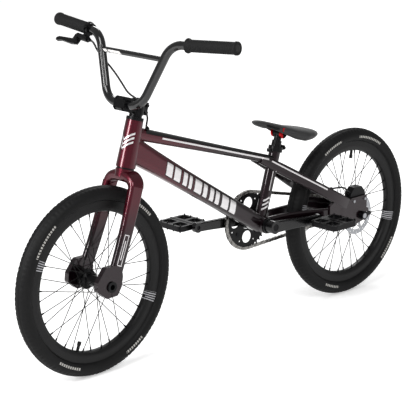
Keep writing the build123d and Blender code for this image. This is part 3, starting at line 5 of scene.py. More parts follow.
import bpy
import numpy as np
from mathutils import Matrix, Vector

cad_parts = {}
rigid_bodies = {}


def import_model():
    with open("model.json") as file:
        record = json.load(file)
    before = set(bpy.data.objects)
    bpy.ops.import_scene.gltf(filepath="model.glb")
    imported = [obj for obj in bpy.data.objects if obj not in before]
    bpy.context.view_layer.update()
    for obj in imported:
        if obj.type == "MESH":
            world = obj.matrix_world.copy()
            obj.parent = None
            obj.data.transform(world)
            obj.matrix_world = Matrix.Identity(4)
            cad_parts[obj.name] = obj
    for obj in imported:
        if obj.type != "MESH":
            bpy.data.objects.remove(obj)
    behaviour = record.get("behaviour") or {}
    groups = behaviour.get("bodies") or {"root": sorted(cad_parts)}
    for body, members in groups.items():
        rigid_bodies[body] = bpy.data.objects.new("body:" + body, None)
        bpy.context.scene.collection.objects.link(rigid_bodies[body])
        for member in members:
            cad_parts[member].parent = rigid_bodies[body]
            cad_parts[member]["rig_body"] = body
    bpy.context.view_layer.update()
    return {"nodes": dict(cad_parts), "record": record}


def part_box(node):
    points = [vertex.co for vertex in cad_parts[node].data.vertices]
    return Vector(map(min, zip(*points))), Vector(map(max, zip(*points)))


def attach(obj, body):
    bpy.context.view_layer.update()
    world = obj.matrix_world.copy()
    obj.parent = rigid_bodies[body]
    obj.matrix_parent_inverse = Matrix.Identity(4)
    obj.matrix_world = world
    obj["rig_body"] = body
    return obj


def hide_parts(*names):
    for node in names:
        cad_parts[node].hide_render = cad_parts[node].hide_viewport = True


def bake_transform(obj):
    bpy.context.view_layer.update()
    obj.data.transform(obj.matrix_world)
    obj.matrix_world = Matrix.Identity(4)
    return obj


bl_info = {
    "name": "Race bicycle",
    "version": (1, 0, 0),
    "blender": (4, 5, 0),
    "location": "View3D > Sidebar > Bicycle",
    "description": "Finishes the frame, wheels, drive, steering and saddle of a 20 inch race bicycle",
    "category": "Add Mesh",
}

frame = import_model()


# ---- places that come from the frame ------------------------------------------------
def joint(name):
    """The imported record's entry for a joint."""
    return [j for j in frame["record"]["behaviour"]["joints"] if j["name"] == name][0]


FRONT_AXLE = Vector(joint("front_wheel_spin")["pos_m"])
REAR_AXLE = Vector(joint("rear_wheel_spin")["pos_m"])
CRANK_AXIS = Vector(joint("crank_spin")["pos_m"])
HEAD_LOW = Vector(joint("steer")["pos_m"])
STEER_UP = Vector(joint("steer")["axis"]).normalized()
SADDLE_PIVOT = Vector(joint("saddle_tilt")["pos_m"])


# ---- settings -----------------------------------------------------------------------
def linear(code):
    """An sRGB hex value as linear red, green, blue and 1: ((c + 0.055) / 1.055) ** 2.4 above 0.04045."""
    out = []
    for k in (1, 3, 5):
        c = int(code[k:k + 2], 16) / 255
        out.append(c / 12.92 if c <= 0.04045 else ((c + 0.055) / 1.055) ** 2.4)
    return (*out, 1.0)


class FrameSettings(bpy.types.PropertyGroup):
    """Colours and graphics of the frame and fork."""
    candy: bpy.props.FloatVectorProperty(
        name="Candy", description="Colour of the front of the frame and of the fork's crown",
        subtype="COLOR", size=4, min=0, max=1, default=linear("#5E0820"))
    base: bpy.props.FloatVectorProperty(
        name="Base", description="Colour of the back of the frame and of the fork's ends",
        subtype="COLOR", size=4, min=0, max=1, default=linear("#1A0710"))
    graphics: bpy.props.FloatVectorProperty(
        name="Graphics", description="Colour of the bars and stripes on the tubes",
        subtype="COLOR", size=4, min=0, max=1, default=linear("#F4F1F2"))
    fade_start: bpy.props.FloatProperty(
        name="Fade start", description="Where along the bicycle the candy colour has gone",
        default=0.02, unit="LENGTH")
    fade_end: bpy.props.FloatProperty(
        name="Fade end", description="Where along the bicycle the candy colour is full",
        default=0.30, unit="LENGTH")


class WheelSettings(bpy.types.PropertyGroup):
    """Sizes of the tyres' tread."""
    section: bpy.props.FloatProperty(
        name="Section", description="Radius of the tyre's section", default=0.022, unit="LENGTH")
    groove: bpy.props.FloatProperty(
        name="Groove", description="Depth of the tread's grooves", default=0.0011, unit="LENGTH")
    blocks: bpy.props.IntProperty(
        name="Blocks", description="Tread blocks round the tyre", default=120, min=12, max=240)
    rubber: bpy.props.FloatVectorProperty(
        name="Rubber", description="Colour of the tyres", subtype="COLOR", size=4, min=0, max=1,
        default=linear("#080809"))


class GripSettings(bpy.types.PropertyGroup):
    """Sizes of the grips."""
    ribs: bpy.props.IntProperty(name="Ribs", description="Ribs along a grip", default=26, min=4, max=60)
    rib_depth: bpy.props.FloatProperty(
        name="Rib depth", description="Depth between two ribs", default=0.0011, unit="LENGTH")
    hose: bpy.props.FloatProperty(
        name="Hose", description="Diameter of the brake hose", default=0.005, unit="LENGTH")


class SaddleSettings(bpy.types.PropertyGroup):
    """Shape and colour of the saddle."""
    cover: bpy.props.FloatVectorProperty(
        name="Cover", description="Colour of the saddle's cover", subtype="COLOR", size=4, min=0, max=1,
        default=linear("#1E1E1F"))
    channel: bpy.props.FloatProperty(
        name="Channel", description="Depth of the hollow along the saddle's middle", default=0.0016,
        unit="LENGTH")


# ---- meshes ---------------------------------------------------------------------------
def grid_piece(name, points, body, material, around=True, along=True):
    """A quad mesh over a grid of points (rows, columns, 3). Rows close on themselves if along is
    true and columns if around is true; corner (i, j) joins (i+1, j), (i+1, j+1) and (i, j+1)."""
    rows, columns = points.shape[:2]
    i = np.arange(rows if along else rows - 1)[:, None]
    j = np.arange(columns if around else columns - 1)[None, :]
    up, right = (i + 1) % rows, (j + 1) % columns
    quads = np.stack([i * columns + j, up * columns + j, up * columns + right, i * columns + right], -1)
    quads = quads.reshape(-1, 4)
    mesh = bpy.data.meshes.new(name)
    mesh.vertices.add(rows * columns)
    mesh.vertices.foreach_set("co", points.reshape(-1).astype(np.float32))
    mesh.loops.add(quads.size)
    mesh.loops.foreach_set("vertex_index", quads.reshape(-1).astype(np.int32))
    mesh.polygons.add(len(quads))
    mesh.polygons.foreach_set("loop_start", np.arange(0, quads.size, 4, dtype=np.int32))
    mesh.polygons.foreach_set("use_smooth", np.ones(len(quads), bool))
    mesh.update(calc_edges=True)
    mesh.validate()
    outward(mesh)
    piece = bpy.data.objects.new(name, mesh)
    bpy.context.scene.collection.objects.link(piece)
    mesh.materials.append(material)
    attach(piece, body)
    return piece


def outward(mesh):
    """Turns every face outwards: a closed mesh whose volume, a sixth of the sum of a . (b x c)
    over its triangles, is negative is inside out."""
    mesh.calc_loop_triangles()
    corners = np.empty(len(mesh.loop_triangles) * 3, np.int32)
    mesh.loop_triangles.foreach_get("vertices", corners)
    places = np.empty(len(mesh.vertices) * 3, np.float32)
    mesh.vertices.foreach_get("co", places)
    a, b, c = places.reshape(-1, 3).astype(float)[corners].reshape(-1, 3, 3).transpose(1, 0, 2)
    if np.einsum("ij,ij->", a, np.cross(b, c)) < 0:
        mesh.flip_normals()


# ---- materials --------------------------------------------------------------------------
def add_node(tree, kind, inputs=(), **settings):
    """Adds a node; inputs are given in order or by socket name, each a number, a colour or a socket."""
    node = tree.nodes.new(kind)
    for key, value in settings.items():
        setattr(node, key, value)
    pairs = inputs.items() if isinstance(inputs, dict) else enumerate(inputs)
    for key, value in pairs:
        if isinstance(value, bpy.types.NodeSocket):
            tree.links.new(value, node.inputs[key])
        elif value is not None:
            node.inputs[key].default_value = value
    return node


def start_material(name, **surface):
    """A material with its tree, its shader with constants set on the sockets, and Object coordinates."""
    material = bpy.data.materials.new(name)
    material.use_nodes = True
    tree = material.node_tree
    shader = tree.nodes["Principled BSDF"]
    for key, value in surface.items():
        shader.inputs[key.replace("_", " ")].default_value = value
    where = add_node(tree, "ShaderNodeTexCoord").outputs["Object"]
    return material, tree, shader, where


def grained(name, hex_dark, hex_light, grain_mm, roughness, spread, bump_mm, **surface):
    """A surface whose colour and roughness wander with a noise of one grain size, with a fine bump.
    The noise's scale is 1 / grain, and the roughness runs from roughness - spread to roughness + spread."""
    material, tree, shader, where = start_material(name, **surface)
    noise = add_node(tree, "ShaderNodeTexNoise", {"Vector": where, "Scale": 1000 / grain_mm, "Detail": 4.0})
    ramp = add_node(tree, "ShaderNodeValToRGB", [noise.outputs["Fac"]])
    ramp.color_ramp.elements[0].color = linear(hex_dark)
    ramp.color_ramp.elements[1].color = linear(hex_light)
    ramp.color_ramp.elements[0].position, ramp.color_ramp.elements[1].position = 0.3, 0.7
    tree.links.new(ramp.outputs["Color"], shader.inputs["Base Color"])
    range_node = add_node(tree, "ShaderNodeMapRange", {
        "Value": noise.outputs["Fac"], "From Min": 0.3, "From Max": 0.7,
        "To Min": roughness - spread, "To Max": roughness + spread})
    tree.links.new(range_node.outputs["Result"], shader.inputs["Roughness"])
    bump = add_node(tree, "ShaderNodeBump", {
        "Height": noise.outputs["Fac"], "Strength": 0.5, "Distance": bump_mm / 1000})
    tree.links.new(bump.outputs["Normal"], shader.inputs["Normal"])
    return material


# Anodised aluminium: blasted, then dyed in the bath. A deep satin black with a soft, wide highlight.
def anodised_black():
    return grained("anodised_aluminium_black", "#08080A", "#121214", 0.8, 0.34, 0.05, 0.02, Metallic=0.6)


def overlaid(material, mask, colour):
    """Lays a colour over a finished material where the mask is 1. The mask is a function of the
    material's tree and of its three Object coordinates."""
    tree = material.node_tree
    where = [n for n in tree.nodes if n.type == "TEX_COORD"][0].outputs["Object"]
    place = add_node(tree, "ShaderNodeSeparateXYZ", [where]).outputs
    paint_socket = tree.nodes["Principled BSDF"].inputs["Base Color"]
    below = paint_socket.links[0].from_socket
    tree.links.new(overlay(tree, below, linear(colour), mask(tree, *place)), paint_socket)
    return material


# The mark on the crossbar: its ends across the bicycle, its height, its reach forward, and the two
# stretches of height * 1.2 + side between which its slanted ends lie.
MARK_SIDE, MARK_HEIGHT, MARK_FORWARD = (-0.104, -0.030), (0.8015, 0.8095), (0.336, 0.352)
MARK_SLANTS = ((0.8850, 0.9300), (0.8650, 0.8800))


def crossbar_mark(tree, x, y, z):
    """1 on a pale slanted mark on the front of the crossbar, towards its right end."""
    slant = add_node(tree, "ShaderNodeMath", [z, 1.2, y], operation="MULTIPLY_ADD").outputs[0]
    parts = [patch(tree, (slant, *ends)) for ends in MARK_SLANTS]
    either = add_node(tree, "ShaderNodeMath", parts, operation="MAXIMUM").outputs[0]
    return patch(tree, either, (z, *MARK_HEIGHT), (x, *MARK_FORWARD), (y, *MARK_SIDE))


def clamp_back_shade(tree, x, y, z):
    """1 behind the front of the saddle's clamp, where painted shade lies over the red."""
    return add_node(tree, "ShaderNodeMath", [x, SADDLE_PIVOT.x + 0.003], operation="LESS_THAN").outputs[0]


# Gloss paint on drawn steel tube. Black, with a hard bright line along the tube.
def gloss_black():
    material = grained("gloss_paint_on_tube", "#050506", "#09090B", 6.0, 0.16, 0.03, 0.02,
                       Coat_Weight=0.6, Coat_Roughness=0.04)
    return overlaid(material, crossbar_mark, "#E8E6E4")


# Red anodised aluminium on the saddle's clamp, which glows in the highlight at its front. Behind the front the
# red is covered by painted shade, near black.
def anodised_red():
    material = grained("anodised_aluminium_red", "#A80F14", "#C8171C", 0.8, 0.28, 0.05, 0.02, Metallic=0.9)
    # Painted shade: near black laid over the clamp's red behind its front.
    return overlaid(material, clamp_back_shade, "#0B0B0C")


# Machined stainless steel: fine turning marks, bright with grey streaks.
def bright_steel():
    return grained("machined_stainless_steel", "#8E9094", "#C4C6CA", 0.5, 0.26, 0.08, 0.02, Metallic=1.0)


# Black zinc on steel bolts and spokes: thin and slightly worn, so the highlight is broken.
def black_steel():
    return grained("black_zinc_steel", "#101012", "#1C1C1F", 0.6, 0.36, 0.08, 0.02, Metallic=0.8)


# Black oxide on drawn wire: the spokes stay dark against a bright ground.
def black_wire():
    return grained("black_oxide_wire", "#050505", "#090909", 0.6, 0.5, 0.05, 0.01, Specular_IOR_Level=0.2)


# Oiled chain steel: brown black where the oil holds dirt, and bare on the rubbed plates.
def chain_steel():
    return grained("oiled_chain_steel", "#6A6866", "#B8B6B2", 5.0, 0.30, 0.10, 0.03, Metallic=1.0)


# Forged and anodised crank arms. Near black and smoother than the blasted parts.
def crank_black():
    return grained("forged_crank_black", "#070708", "#0F0F11", 1.5, 0.26, 0.05, 0.02, Metallic=0.4,
                   Coat_Weight=0.3, Coat_Roughness=0.12)


# Moulded nylon: fine spark-eroded texture from the tool, dull black.
def moulded_nylon():
    return grained("moulded_nylon_black", "#070708", "#0E0E0F", 0.5, 0.52, 0.06, 0.05)


# Soft thermoplastic rubber of the grips and grommets: matt, with dust in the low places.
def grip_rubber():
    return grained("grip_rubber", "#09090A", "#121213", 1.2, 0.72, 0.06, 0.08, Specular_IOR_Level=0.3)


# Sintered brake compound: brown and granular.
def pad_compound():
    return grained("sintered_pad_compound", "#2B231B", "#5A4A3A", 0.6, 0.8, 0.05, 0.05)


def patch(tree, *parts):
    """1 where every part is 1. A part is a mask, or a value and the two numbers that it lies between."""
    result = None
    for part in parts:
        if isinstance(part, tuple):
            value, low, high = part
            part = add_node(tree, "ShaderNodeMath", [value, (low + high) / 2, (high - low) / 2],
                            operation="COMPARE").outputs[0]
        result = part if result is None else add_node(
            tree, "ShaderNodeMath", [result, part], operation="MULTIPLY").outputs[0]
    return result


def overlay(tree, colour, paint, *parts):
    """The colour, with a paint over it on a patch."""
    share = patch(tree, *parts)
    return add_node(tree, "ShaderNodeMix", {0: share, 6: colour, 7: paint}, data_type="RGBA").outputs[2]


def measured(tree, where, origin, *directions):
    """How far a point lies from an origin along each direction: (point - origin) . direction."""
    offset = add_node(tree, "ShaderNodeVectorMath", [where, tuple(origin)], operation="SUBTRACT").outputs[0]
    return [add_node(tree, "ShaderNodeVectorMath", [offset, tuple(direction)],
                     operation="DOT_PRODUCT").outputs["Value"] for direction in directions]


# Candy paint: clear wine red over bright flake over moulded carbon, under a thick clear coat.
# It gives a deep red that turns pink in the highlight, and it fades to gloss black.
def candy_paint(settings, on_fork):
    material, tree, shader, where = start_material(
        "candy_paint_fork" if on_fork else "candy_paint_frame",
        Metallic=0.8, Roughness=0.34, Coat_Weight=0.8, Coat_Roughness=0.05)
    place = add_node(tree, "ShaderNodeSeparateXYZ", [where])
    x, y, z = place.outputs
    if on_fork:
        fade = add_node(tree, "ShaderNodeMapRange", {"Value": z, "From Min": 0.34, "From Max": 0.47},
                        interpolation_type="SMOOTHSTEP").outputs["Result"]
    else:
        fade = add_node(tree, "ShaderNodeMapRange", {
            "Value": x, "From Min": settings.fade_start, "From Max": settings.fade_end},
            interpolation_type="SMOOTHSTEP").outputs["Result"]
    # Flake of about 1.5 mm clusters, the finest that shows.
    flake = add_node(tree, "ShaderNodeTexNoise", {"Vector": where, "Scale": 650.0, "Detail": 2.0})
    deep = tuple(c * 0.55 for c in settings.candy[:3]) + (1.0,)
    candy = overlay(tree, deep, tuple(settings.candy), flake.outputs["Fac"])
    colour = overlay(tree, tuple(settings.base), candy, fade)
    if not on_fork:
        colour = frame_graphics(tree, where, y, colour, settings)
    else:
        side = add_node(tree, "ShaderNodeMath", [y], operation="ABSOLUTE").outputs[0]
        colour = fork_graphics(tree, where, side, colour, settings)
    tree.links.new(colour, shader.inputs["Base Color"])
    ripple = add_node(tree, "ShaderNodeTexNoise", {"Vector": where, "Scale": 90.0, "Detail": 1.0})
    bump = add_node(tree, "ShaderNodeBump", {
        "Height": ripple.outputs["Fac"], "Strength": 0.1, "Distance": 0.0002})
    tree.links.new(bump.outputs["Normal"], shader.inputs["Coat Normal"])
    return material


def fork_graphics(tree, where, side, colour, settings):
    """A thin outlined panel low on the outside of each blade."""
    low = FRONT_AXLE + Vector((-0.013, 0, 0.016))
    top = Vector((HEAD_LOW.x + 0.032, 0, HEAD_LOW.z - 0.1076))
    way = (top - low).normalized()
    cross = Vector((way.z, 0, -way.x))
    u, v = measured(tree, where, low, way, cross)
    outer = patch(tree, (u, 0.035, 0.115), (v, -0.0075, 0.0075))
    inner = patch(tree, (u, 0.037, 0.113), (v, -0.0057, 0.0057))
    bars = patch(tree, (u, 0.050, 0.100), (v, -0.0014, 0.0014))
    line = add_node(tree, "ShaderNodeMath", [outer, inner], operation="SUBTRACT").outputs[0]
    line = add_node(tree, "ShaderNodeMath", [line, bars], operation="MAXIMUM").outputs[0]
    outside = add_node(tree, "ShaderNodeMath", [side, 0.055], operation="GREATER_THAN").outputs[0]
    return overlay(tree, colour, tuple(settings.graphics), line, outside)


# Where each slanted bar on the down tube starts and ends, in metres from the tube's head end.
BLOCKS = ((0.122, 0.146), (0.154, 0.178), (0.190, 0.206), (0.214, 0.226), (0.238, 0.266), (0.274, 0.290),
          (0.302, 0.318), (0.326, 0.342), (0.354, 0.382), (0.390, 0.414))


# How tall each chevron's stroke is.
CHEVRON_TALL = 0.0055


def frame_graphics(tree, where, y, colour, settings):
    """Slanted bars on the down tube, a stripe from the top tube into the stays, and chevrons."""
    ink = linear("#0D0D0D")
    white = tuple(settings.graphics)
    side = add_node(tree, "ShaderNodeMath", [y], operation="ABSOLUTE").outputs[0]
    # Down tube: slanted blocks at u + 0.35 v, along the tube from its head end.
    head = Vector((HEAD_LOW.x - 0.017, 0, HEAD_LOW.z + 0.0454))
    crank = Vector((CRANK_AXIS.x + 0.0056, 0, CRANK_AXIS.z + 0.001))
    way = (crank - head).normalized()
    cross = Vector((way.z, 0, -way.x)) * -1
    cross = cross if cross.z > 0 else -cross
    slant = (way + cross * 0.35)
    s, v = measured(tree, where, head, slant, cross)
    beside = add_node(tree, "ShaderNodeMath", [side, 0.0125], operation="GREATER_THAN").outputs[0]
    for grow, paint in ((0.0022, ink), (0.0, white)):
        blocks = None
        for start, end in BLOCKS:
            block = patch(tree, (s, start - grow, end + grow))
            blocks = block if blocks is None else add_node(
                tree, "ShaderNodeMath", [blocks, block], operation="MAXIMUM").outputs[0]
        colour = overlay(tree, colour, paint, blocks, (v, -0.0165 - grow, 0.0155 + grow), beside)
    # Top tube stripe, 4 mm tall, a little above the middle of the side.
    top_head = Vector((HEAD_LOW.x - 0.024, 0, HEAD_LOW.z + 0.0854))
    top_seat = Vector((-0.150, 0, 0.4565))
    run = (top_seat - top_head).normalized()
    rise = Vector((-run.z, 0, run.x)) * -1
    rise = rise if rise.z > 0 else -rise
    t, r = measured(tree, where, top_head, run, rise)
    colour = overlay(tree, colour, ink, (r, 0.0048, 0.03), (t, 0.03, 0.515))
    beside = add_node(tree, "ShaderNodeMath", [side, 0.010], operation="GREATER_THAN").outputs[0]
    colour = overlay(tree, colour, white, (t, 0.090, 0.497), (r, -0.0016, 0.0030), beside)
    # Seat stay stripe, on the line that the stay's middle keeps.
    stay_top, stay_low = Vector((-0.150, 0, 0.4505)), Vector((-0.335, 0, 0.3445))
    down = (stay_low - stay_top).normalized()
    over = Vector((down.z, 0, -down.x))
    over = over if over.z > 0 else -over
    a, b = measured(tree, where, stay_top, down, over)
    beside = add_node(tree, "ShaderNodeMath", [side, 0.012], operation="GREATER_THAN").outputs[0]
    colour = overlay(tree, colour, white, (a, -0.012, 0.205), (b, -0.0020, 0.0020), beside)
    # Chevrons up the front of the head tube: height along the tube less 0.9 of the side distance.
    forward = Vector((STEER_UP.z, 0, -STEER_UP.x))
    up, ahead = measured(tree, where, HEAD_LOW, STEER_UP, forward)
    tip = add_node(tree, "ShaderNodeMath", [side, -0.9, up], operation="MULTIPLY_ADD").outputs[0]
    front = add_node(tree, "ShaderNodeMath", [ahead, 0.004], operation="GREATER_THAN").outputs[0]
    narrow = add_node(tree, "ShaderNodeMath", [side, 0.0215], operation="LESS_THAN").outputs[0]
    for k in range(3):
        low = 0.044 + 0.011 * k
        colour = overlay(tree, colour, white, (tip, low, low + CHEVRON_TALL), front, narrow)
    # Chevrons low on the seat tube, and a thin line above them.
    lean = Vector((-cos(radians(73)), 0, sin(radians(73))))
    out = Vector((lean.z, 0, -lean.x))
    foot = Vector((CRANK_AXIS.x - 0.002, 0, CRANK_AXIS.z))
    high, off = measured(tree, where, foot, lean, out)
    spread = add_node(tree, "ShaderNodeMath", [off], operation="ABSOLUTE").outputs[0]
    peak = add_node(tree, "ShaderNodeMath", [spread, 0.9, high], operation="MULTIPLY_ADD").outputs[0]
    for k in range(3):
        low = 0.048 + 0.012 * k
        colour = overlay(tree, colour, white, (peak, low, low + CHEVRON_TALL), (off, -0.0135, 0.0135))
    return overlay(tree, colour, white, (high, 0.094, 0.150), (off, 0.004, 0.006))


# Tyre rubber: vulcanised in a mould, matt and slightly brown black, with pale printed dashes on the side.
def tyre_rubber(name, axle, rubber, marks):
    material, tree, shader, where = start_material(name, Roughness=0.6, Specular_IOR_Level=0.25)
    place = add_node(tree, "ShaderNodeSeparateXYZ", [where])
    dx = add_node(tree, "ShaderNodeMath", [place.outputs[0], -axle.x], operation="ADD").outputs[0]
    dz = add_node(tree, "ShaderNodeMath", [place.outputs[2], -axle.z], operation="ADD").outputs[0]
    turn = add_node(tree, "ShaderNodeMath", [dz, dx], operation="ARCTAN2").outputs[0]
    square = add_node(tree, "ShaderNodeMath", [dx, dx], operation="MULTIPLY").outputs[0]
    square = add_node(tree, "ShaderNodeMath", [dz, dz, square], operation="MULTIPLY_ADD").outputs[0]
    radius = add_node(tree, "ShaderNodeMath", [square], operation="SQRT").outputs[0]
    # Grain of 0.9 mm, coarser than the mould's, so that it shows.
    grain = add_node(tree, "ShaderNodeTexNoise", {"Vector": where, "Scale": 1100.0, "Detail": 3.0})
    dark = tuple(c * 0.7 for c in rubber[:3]) + (1.0,)
    colour = overlay(tree, dark, tuple(rubber), grain.outputs["Fac"])
    dash = add_node(tree, "ShaderNodeMath", [turn, 0.034], operation="MODULO").outputs[0]
    dash = add_node(tree, "ShaderNodeMath", [dash], operation="ABSOLUTE").outputs[0]
    dash = add_node(tree, "ShaderNodeMath", [dash, 0.021], operation="LESS_THAN").outputs[0]
    band = patch(tree, (radius, 0.2195, 0.2260))
    for low, high in marks:
        colour = overlay(tree, colour, linear("#B9B7B2"), band, (turn, radians(low), radians(high)), dash)
    tree.links.new(colour, shader.inputs["Base Color"])
    bump = add_node(tree, "ShaderNodeBump", {
        "Height": grain.outputs["Fac"], "Strength": 0.5, "Distance": 0.0002})
    tree.links.new(bump.outputs["Normal"], shader.inputs["Normal"])
    return material


# Moulded carbon rim with a satin lacquer: near black, with groups of grey bars printed on its side.
def carbon_rim(name, axle, groups):
    material, tree, shader, where = start_material(
        name, Roughness=0.42, Specular_IOR_Level=0.3)
    place = add_node(tree, "ShaderNodeSeparateXYZ", [where])
    dx = add_node(tree, "ShaderNodeMath", [place.outputs[0], -axle.x], operation="ADD").outputs[0]
    dz = add_node(tree, "ShaderNodeMath", [place.outputs[2], -axle.z], operation="ADD").outputs[0]
    turn = add_node(tree, "ShaderNodeMath", [dz, dx], operation="ARCTAN2").outputs[0]
    weave = add_node(tree, "ShaderNodeTexNoise", {"Vector": where, "Scale": 300.0, "Detail": 2.0})
    colour = overlay(tree, linear("#060607"), linear("#0B0B0C"), weave.outputs["Fac"])
    bar = add_node(tree, "ShaderNodeMath", [turn, 0.030], operation="MODULO").outputs[0]
    bar = add_node(tree, "ShaderNodeMath", [bar], operation="ABSOLUTE").outputs[0]
    bar = add_node(tree, "ShaderNodeMath", [bar, 0.012], operation="LESS_THAN").outputs[0]
    for low, high in groups:
        colour = overlay(tree, colour, linear("#B4B4B8"), (turn, radians(low), radians(high)), bar)
    tree.links.new(colour, shader.inputs["Base Color"])
    return material


# Smooth synthetic leather over foam: dark grey, with a fine 1 mm grain and a soft sheen.
def saddle_leather(colour):
    material, tree, shader, where = start_material("synthetic_leather", Sheen_Weight=0.15)
    cells = add_node(tree, "ShaderNodeTexVoronoi", {"Vector": where, "Scale": 900.0})
    noise = add_node(tree, "ShaderNodeTexNoise", {"Vector": where, "Scale": 60.0, "Detail": 3.0})
    dark = tuple(c * 0.72 for c in colour[:3]) + (1.0,)
    tree.links.new(overlay(tree, dark, tuple(colour), noise.outputs["Fac"]), shader.inputs["Base Color"])
    rough = add_node(tree, "ShaderNodeMapRange", {
        "Value": noise.outputs["Fac"], "To Min": 0.42, "To Max": 0.58})
    tree.links.new(rough.outputs["Result"], shader.inputs["Roughness"])
    bump = add_node(tree, "ShaderNodeBump", {
        "Height": cells.outputs["Distance"], "Strength": 0.35, "Distance": 0.0003})
    tree.links.new(bump.outputs["Normal"], shader.inputs["Normal"])
    return material


def paint(material, *nodes):
    """Gives CAD nodes a material in their own slots."""
    for node in nodes:
        piece = frame["nodes"][node]
        if not piece.material_slots:
            piece.data.materials.append(material)
        for place in piece.material_slots:
            place.material = material


# ---- tyres --------------------------------------------------------------------------------
def tyre_section(section, groove, count):
    """The closed outline of a tyre, as (radius, side) points and the tread's weight at each. The
    outside is an arc of the section's radius to 125 degrees each side of the crown. Each bead is
    three straight edges, and the inside is an arc 5 mm smaller. The crown has two grooves."""
    low, high = (v.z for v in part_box("front_tyre"))
    centre = (high - low) / 2 - section
    turn = np.radians(np.linspace(-125, 125, count))
    depth = np.where((np.abs(np.degrees(turn)) > 14) & (np.abs(np.degrees(turn)) < 21), groove, 0.0)
    outside = np.stack([centre + (section - depth) * np.cos(turn), (section - depth) * np.sin(turn)], 1)
    back = turn[::-4]
    inner = section - 0.005
    inside = np.stack([centre + inner * np.cos(back), inner * np.sin(back)], 1)
    right = np.array([[0.2096, 0.0109], [0.2031, 0.0109], [0.2031, 0.0085], [0.2102, 0.0085]])
    left = right[::-1] * [1, -1]
    outline = np.concatenate([outside, right, inside, left])
    edge = np.clip((62 - np.abs(np.degrees(turn))) / 10, 0, 1) * (np.abs(np.degrees(turn)) > 21)
    weight = np.concatenate([edge, np.zeros(len(outline) - count)])
    return outline, weight


def tyre_piece(name, node, body, axle, settings, material):
    """The outline turned round the axle. A block pattern lowers the shoulder of the tread between
    blocks: the drop is groove times a square wave of the turn, shifted by the side."""
    outline, weight = tyre_section(settings.section, settings.groove, 49)
    steps = settings.blocks * 4
    turn = np.linspace(0, 2 * pi, steps, endpoint=False)[:, None]
    shift = np.sign(outline[:, 1])[None, :] * 0.5 + 0.25
    wave = ((turn * settings.blocks / (2 * pi) + shift) % 1.0) > 0.7
    radius = outline[None, :, 0] - settings.groove * weight[None, :] * wave
    side = np.broadcast_to(outline[None, :, 1], radius.shape)
    points = np.stack([axle.x + radius * np.cos(turn), side, axle.z + radius * np.sin(turn)], -1)
    piece = grid_piece(name, points, body, material)
    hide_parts(node)
    return piece


# ---- grips, hose, saddle ---------------------------------------------------------------------
def grip_piece(name, node, settings, material):
    """A ribbed grip turned round the bar. Along the grip the radius is 15.5 mm less rib_depth times
    half of 1 - cos(2 pi ribs t), with a flange at its inner end, and the bore goes back inside it."""
    low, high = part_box(node)
    side = 1 if (low.y + high.y) > 0 else -1
    top = Vector((0.3334, side * 0.1323, 0.8446))
    end = Vector((0.305, side * 0.328, 0.856))
    way = (top - end).normalized()
    t = np.linspace(0, 1, settings.ribs * 8)
    body_s = 0.006 + t * 0.132
    body_r = 0.0155 - settings.rib_depth * (1 - np.cos(2 * pi * settings.ribs * t)) / 2
    profile = np.concatenate([
        [[-0.0038, 0.0096], [-0.0040, 0.0150], [-0.0032, 0.0166], [0.0015, 0.0169], [0.0030, 0.0160]],
        np.stack([body_s, body_r], 1),
        [[0.1415, 0.0156], [0.1424, 0.0178], [0.1435, 0.0185], [0.1452, 0.0184], [0.1459, 0.0176],
         [0.1460, 0.01118], [0.0002, 0.01118], [0.0001, 0.0096]]])
    turn = np.linspace(0, 2 * pi, 48, endpoint=False)[None, :, None]
    first = np.array(way.orthogonal().normalized())
    second = np.cross(np.array(way), first)
    spoke = np.cos(turn) * first + np.sin(turn) * second
    points = np.array(end) + profile[:, 0, None, None] * np.array(way) + profile[:, 1, None, None] * spoke
    piece = grid_piece(name, points, "steering", material)
    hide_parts(node)
    return piece


def tube_along(points, radius, around):
    """A closed tube round a line: at each point the ring lies across the line's direction, and the
    rings keep one steady side. The end rings shrink to nothing so that the ends are closed."""
    way = np.gradient(points, axis=0)
    way /= np.linalg.norm(way, axis=1)[:, None]
    side = np.cross(way, [0.3, 0.2, 0.93])
    side /= np.linalg.norm(side, axis=1)[:, None]
    other = np.cross(way, side)
    turn = np.linspace(0, 2 * pi, around, endpoint=False)[None, :, None]
    size = np.full(len(points), radius)
    size[[0, -1]] = radius * 0.02
    ring = np.cos(turn) * side[:, None] + np.sin(turn) * other[:, None]
    return points[:, None] + size[:, None, None] * ring


SADDLE_TILT = radians(17.5)
SADDLE_ROOF = 0.0165
# Along the saddle, from tail to nose: place, half width, top of the middle, bottom of the wings, and
# how far the middle of the underside is hollowed up from there.
SADDLE_STATIONS = np.array([
    [-0.142, 0.0140, 0.0270, 0.0170], [-0.128, 0.0280, 0.0300, 0.0140], [-0.107, 0.0470, 0.0315, 0.0070],
    [-0.085, 0.0590, 0.0305, -0.0030], [-0.060, 0.0615, 0.0280, -0.0125], [-0.030, 0.0490, 0.0250, -0.0130],
    [0.000, 0.0330, 0.0240, -0.0060], [0.035, 0.0230, 0.0235, 0.0010], [0.070, 0.0180, 0.0230, 0.0030],
    [0.098, 0.0130, 0.0205, 0.0050], [0.108, 0.0080, 0.0170, 0.0090]])


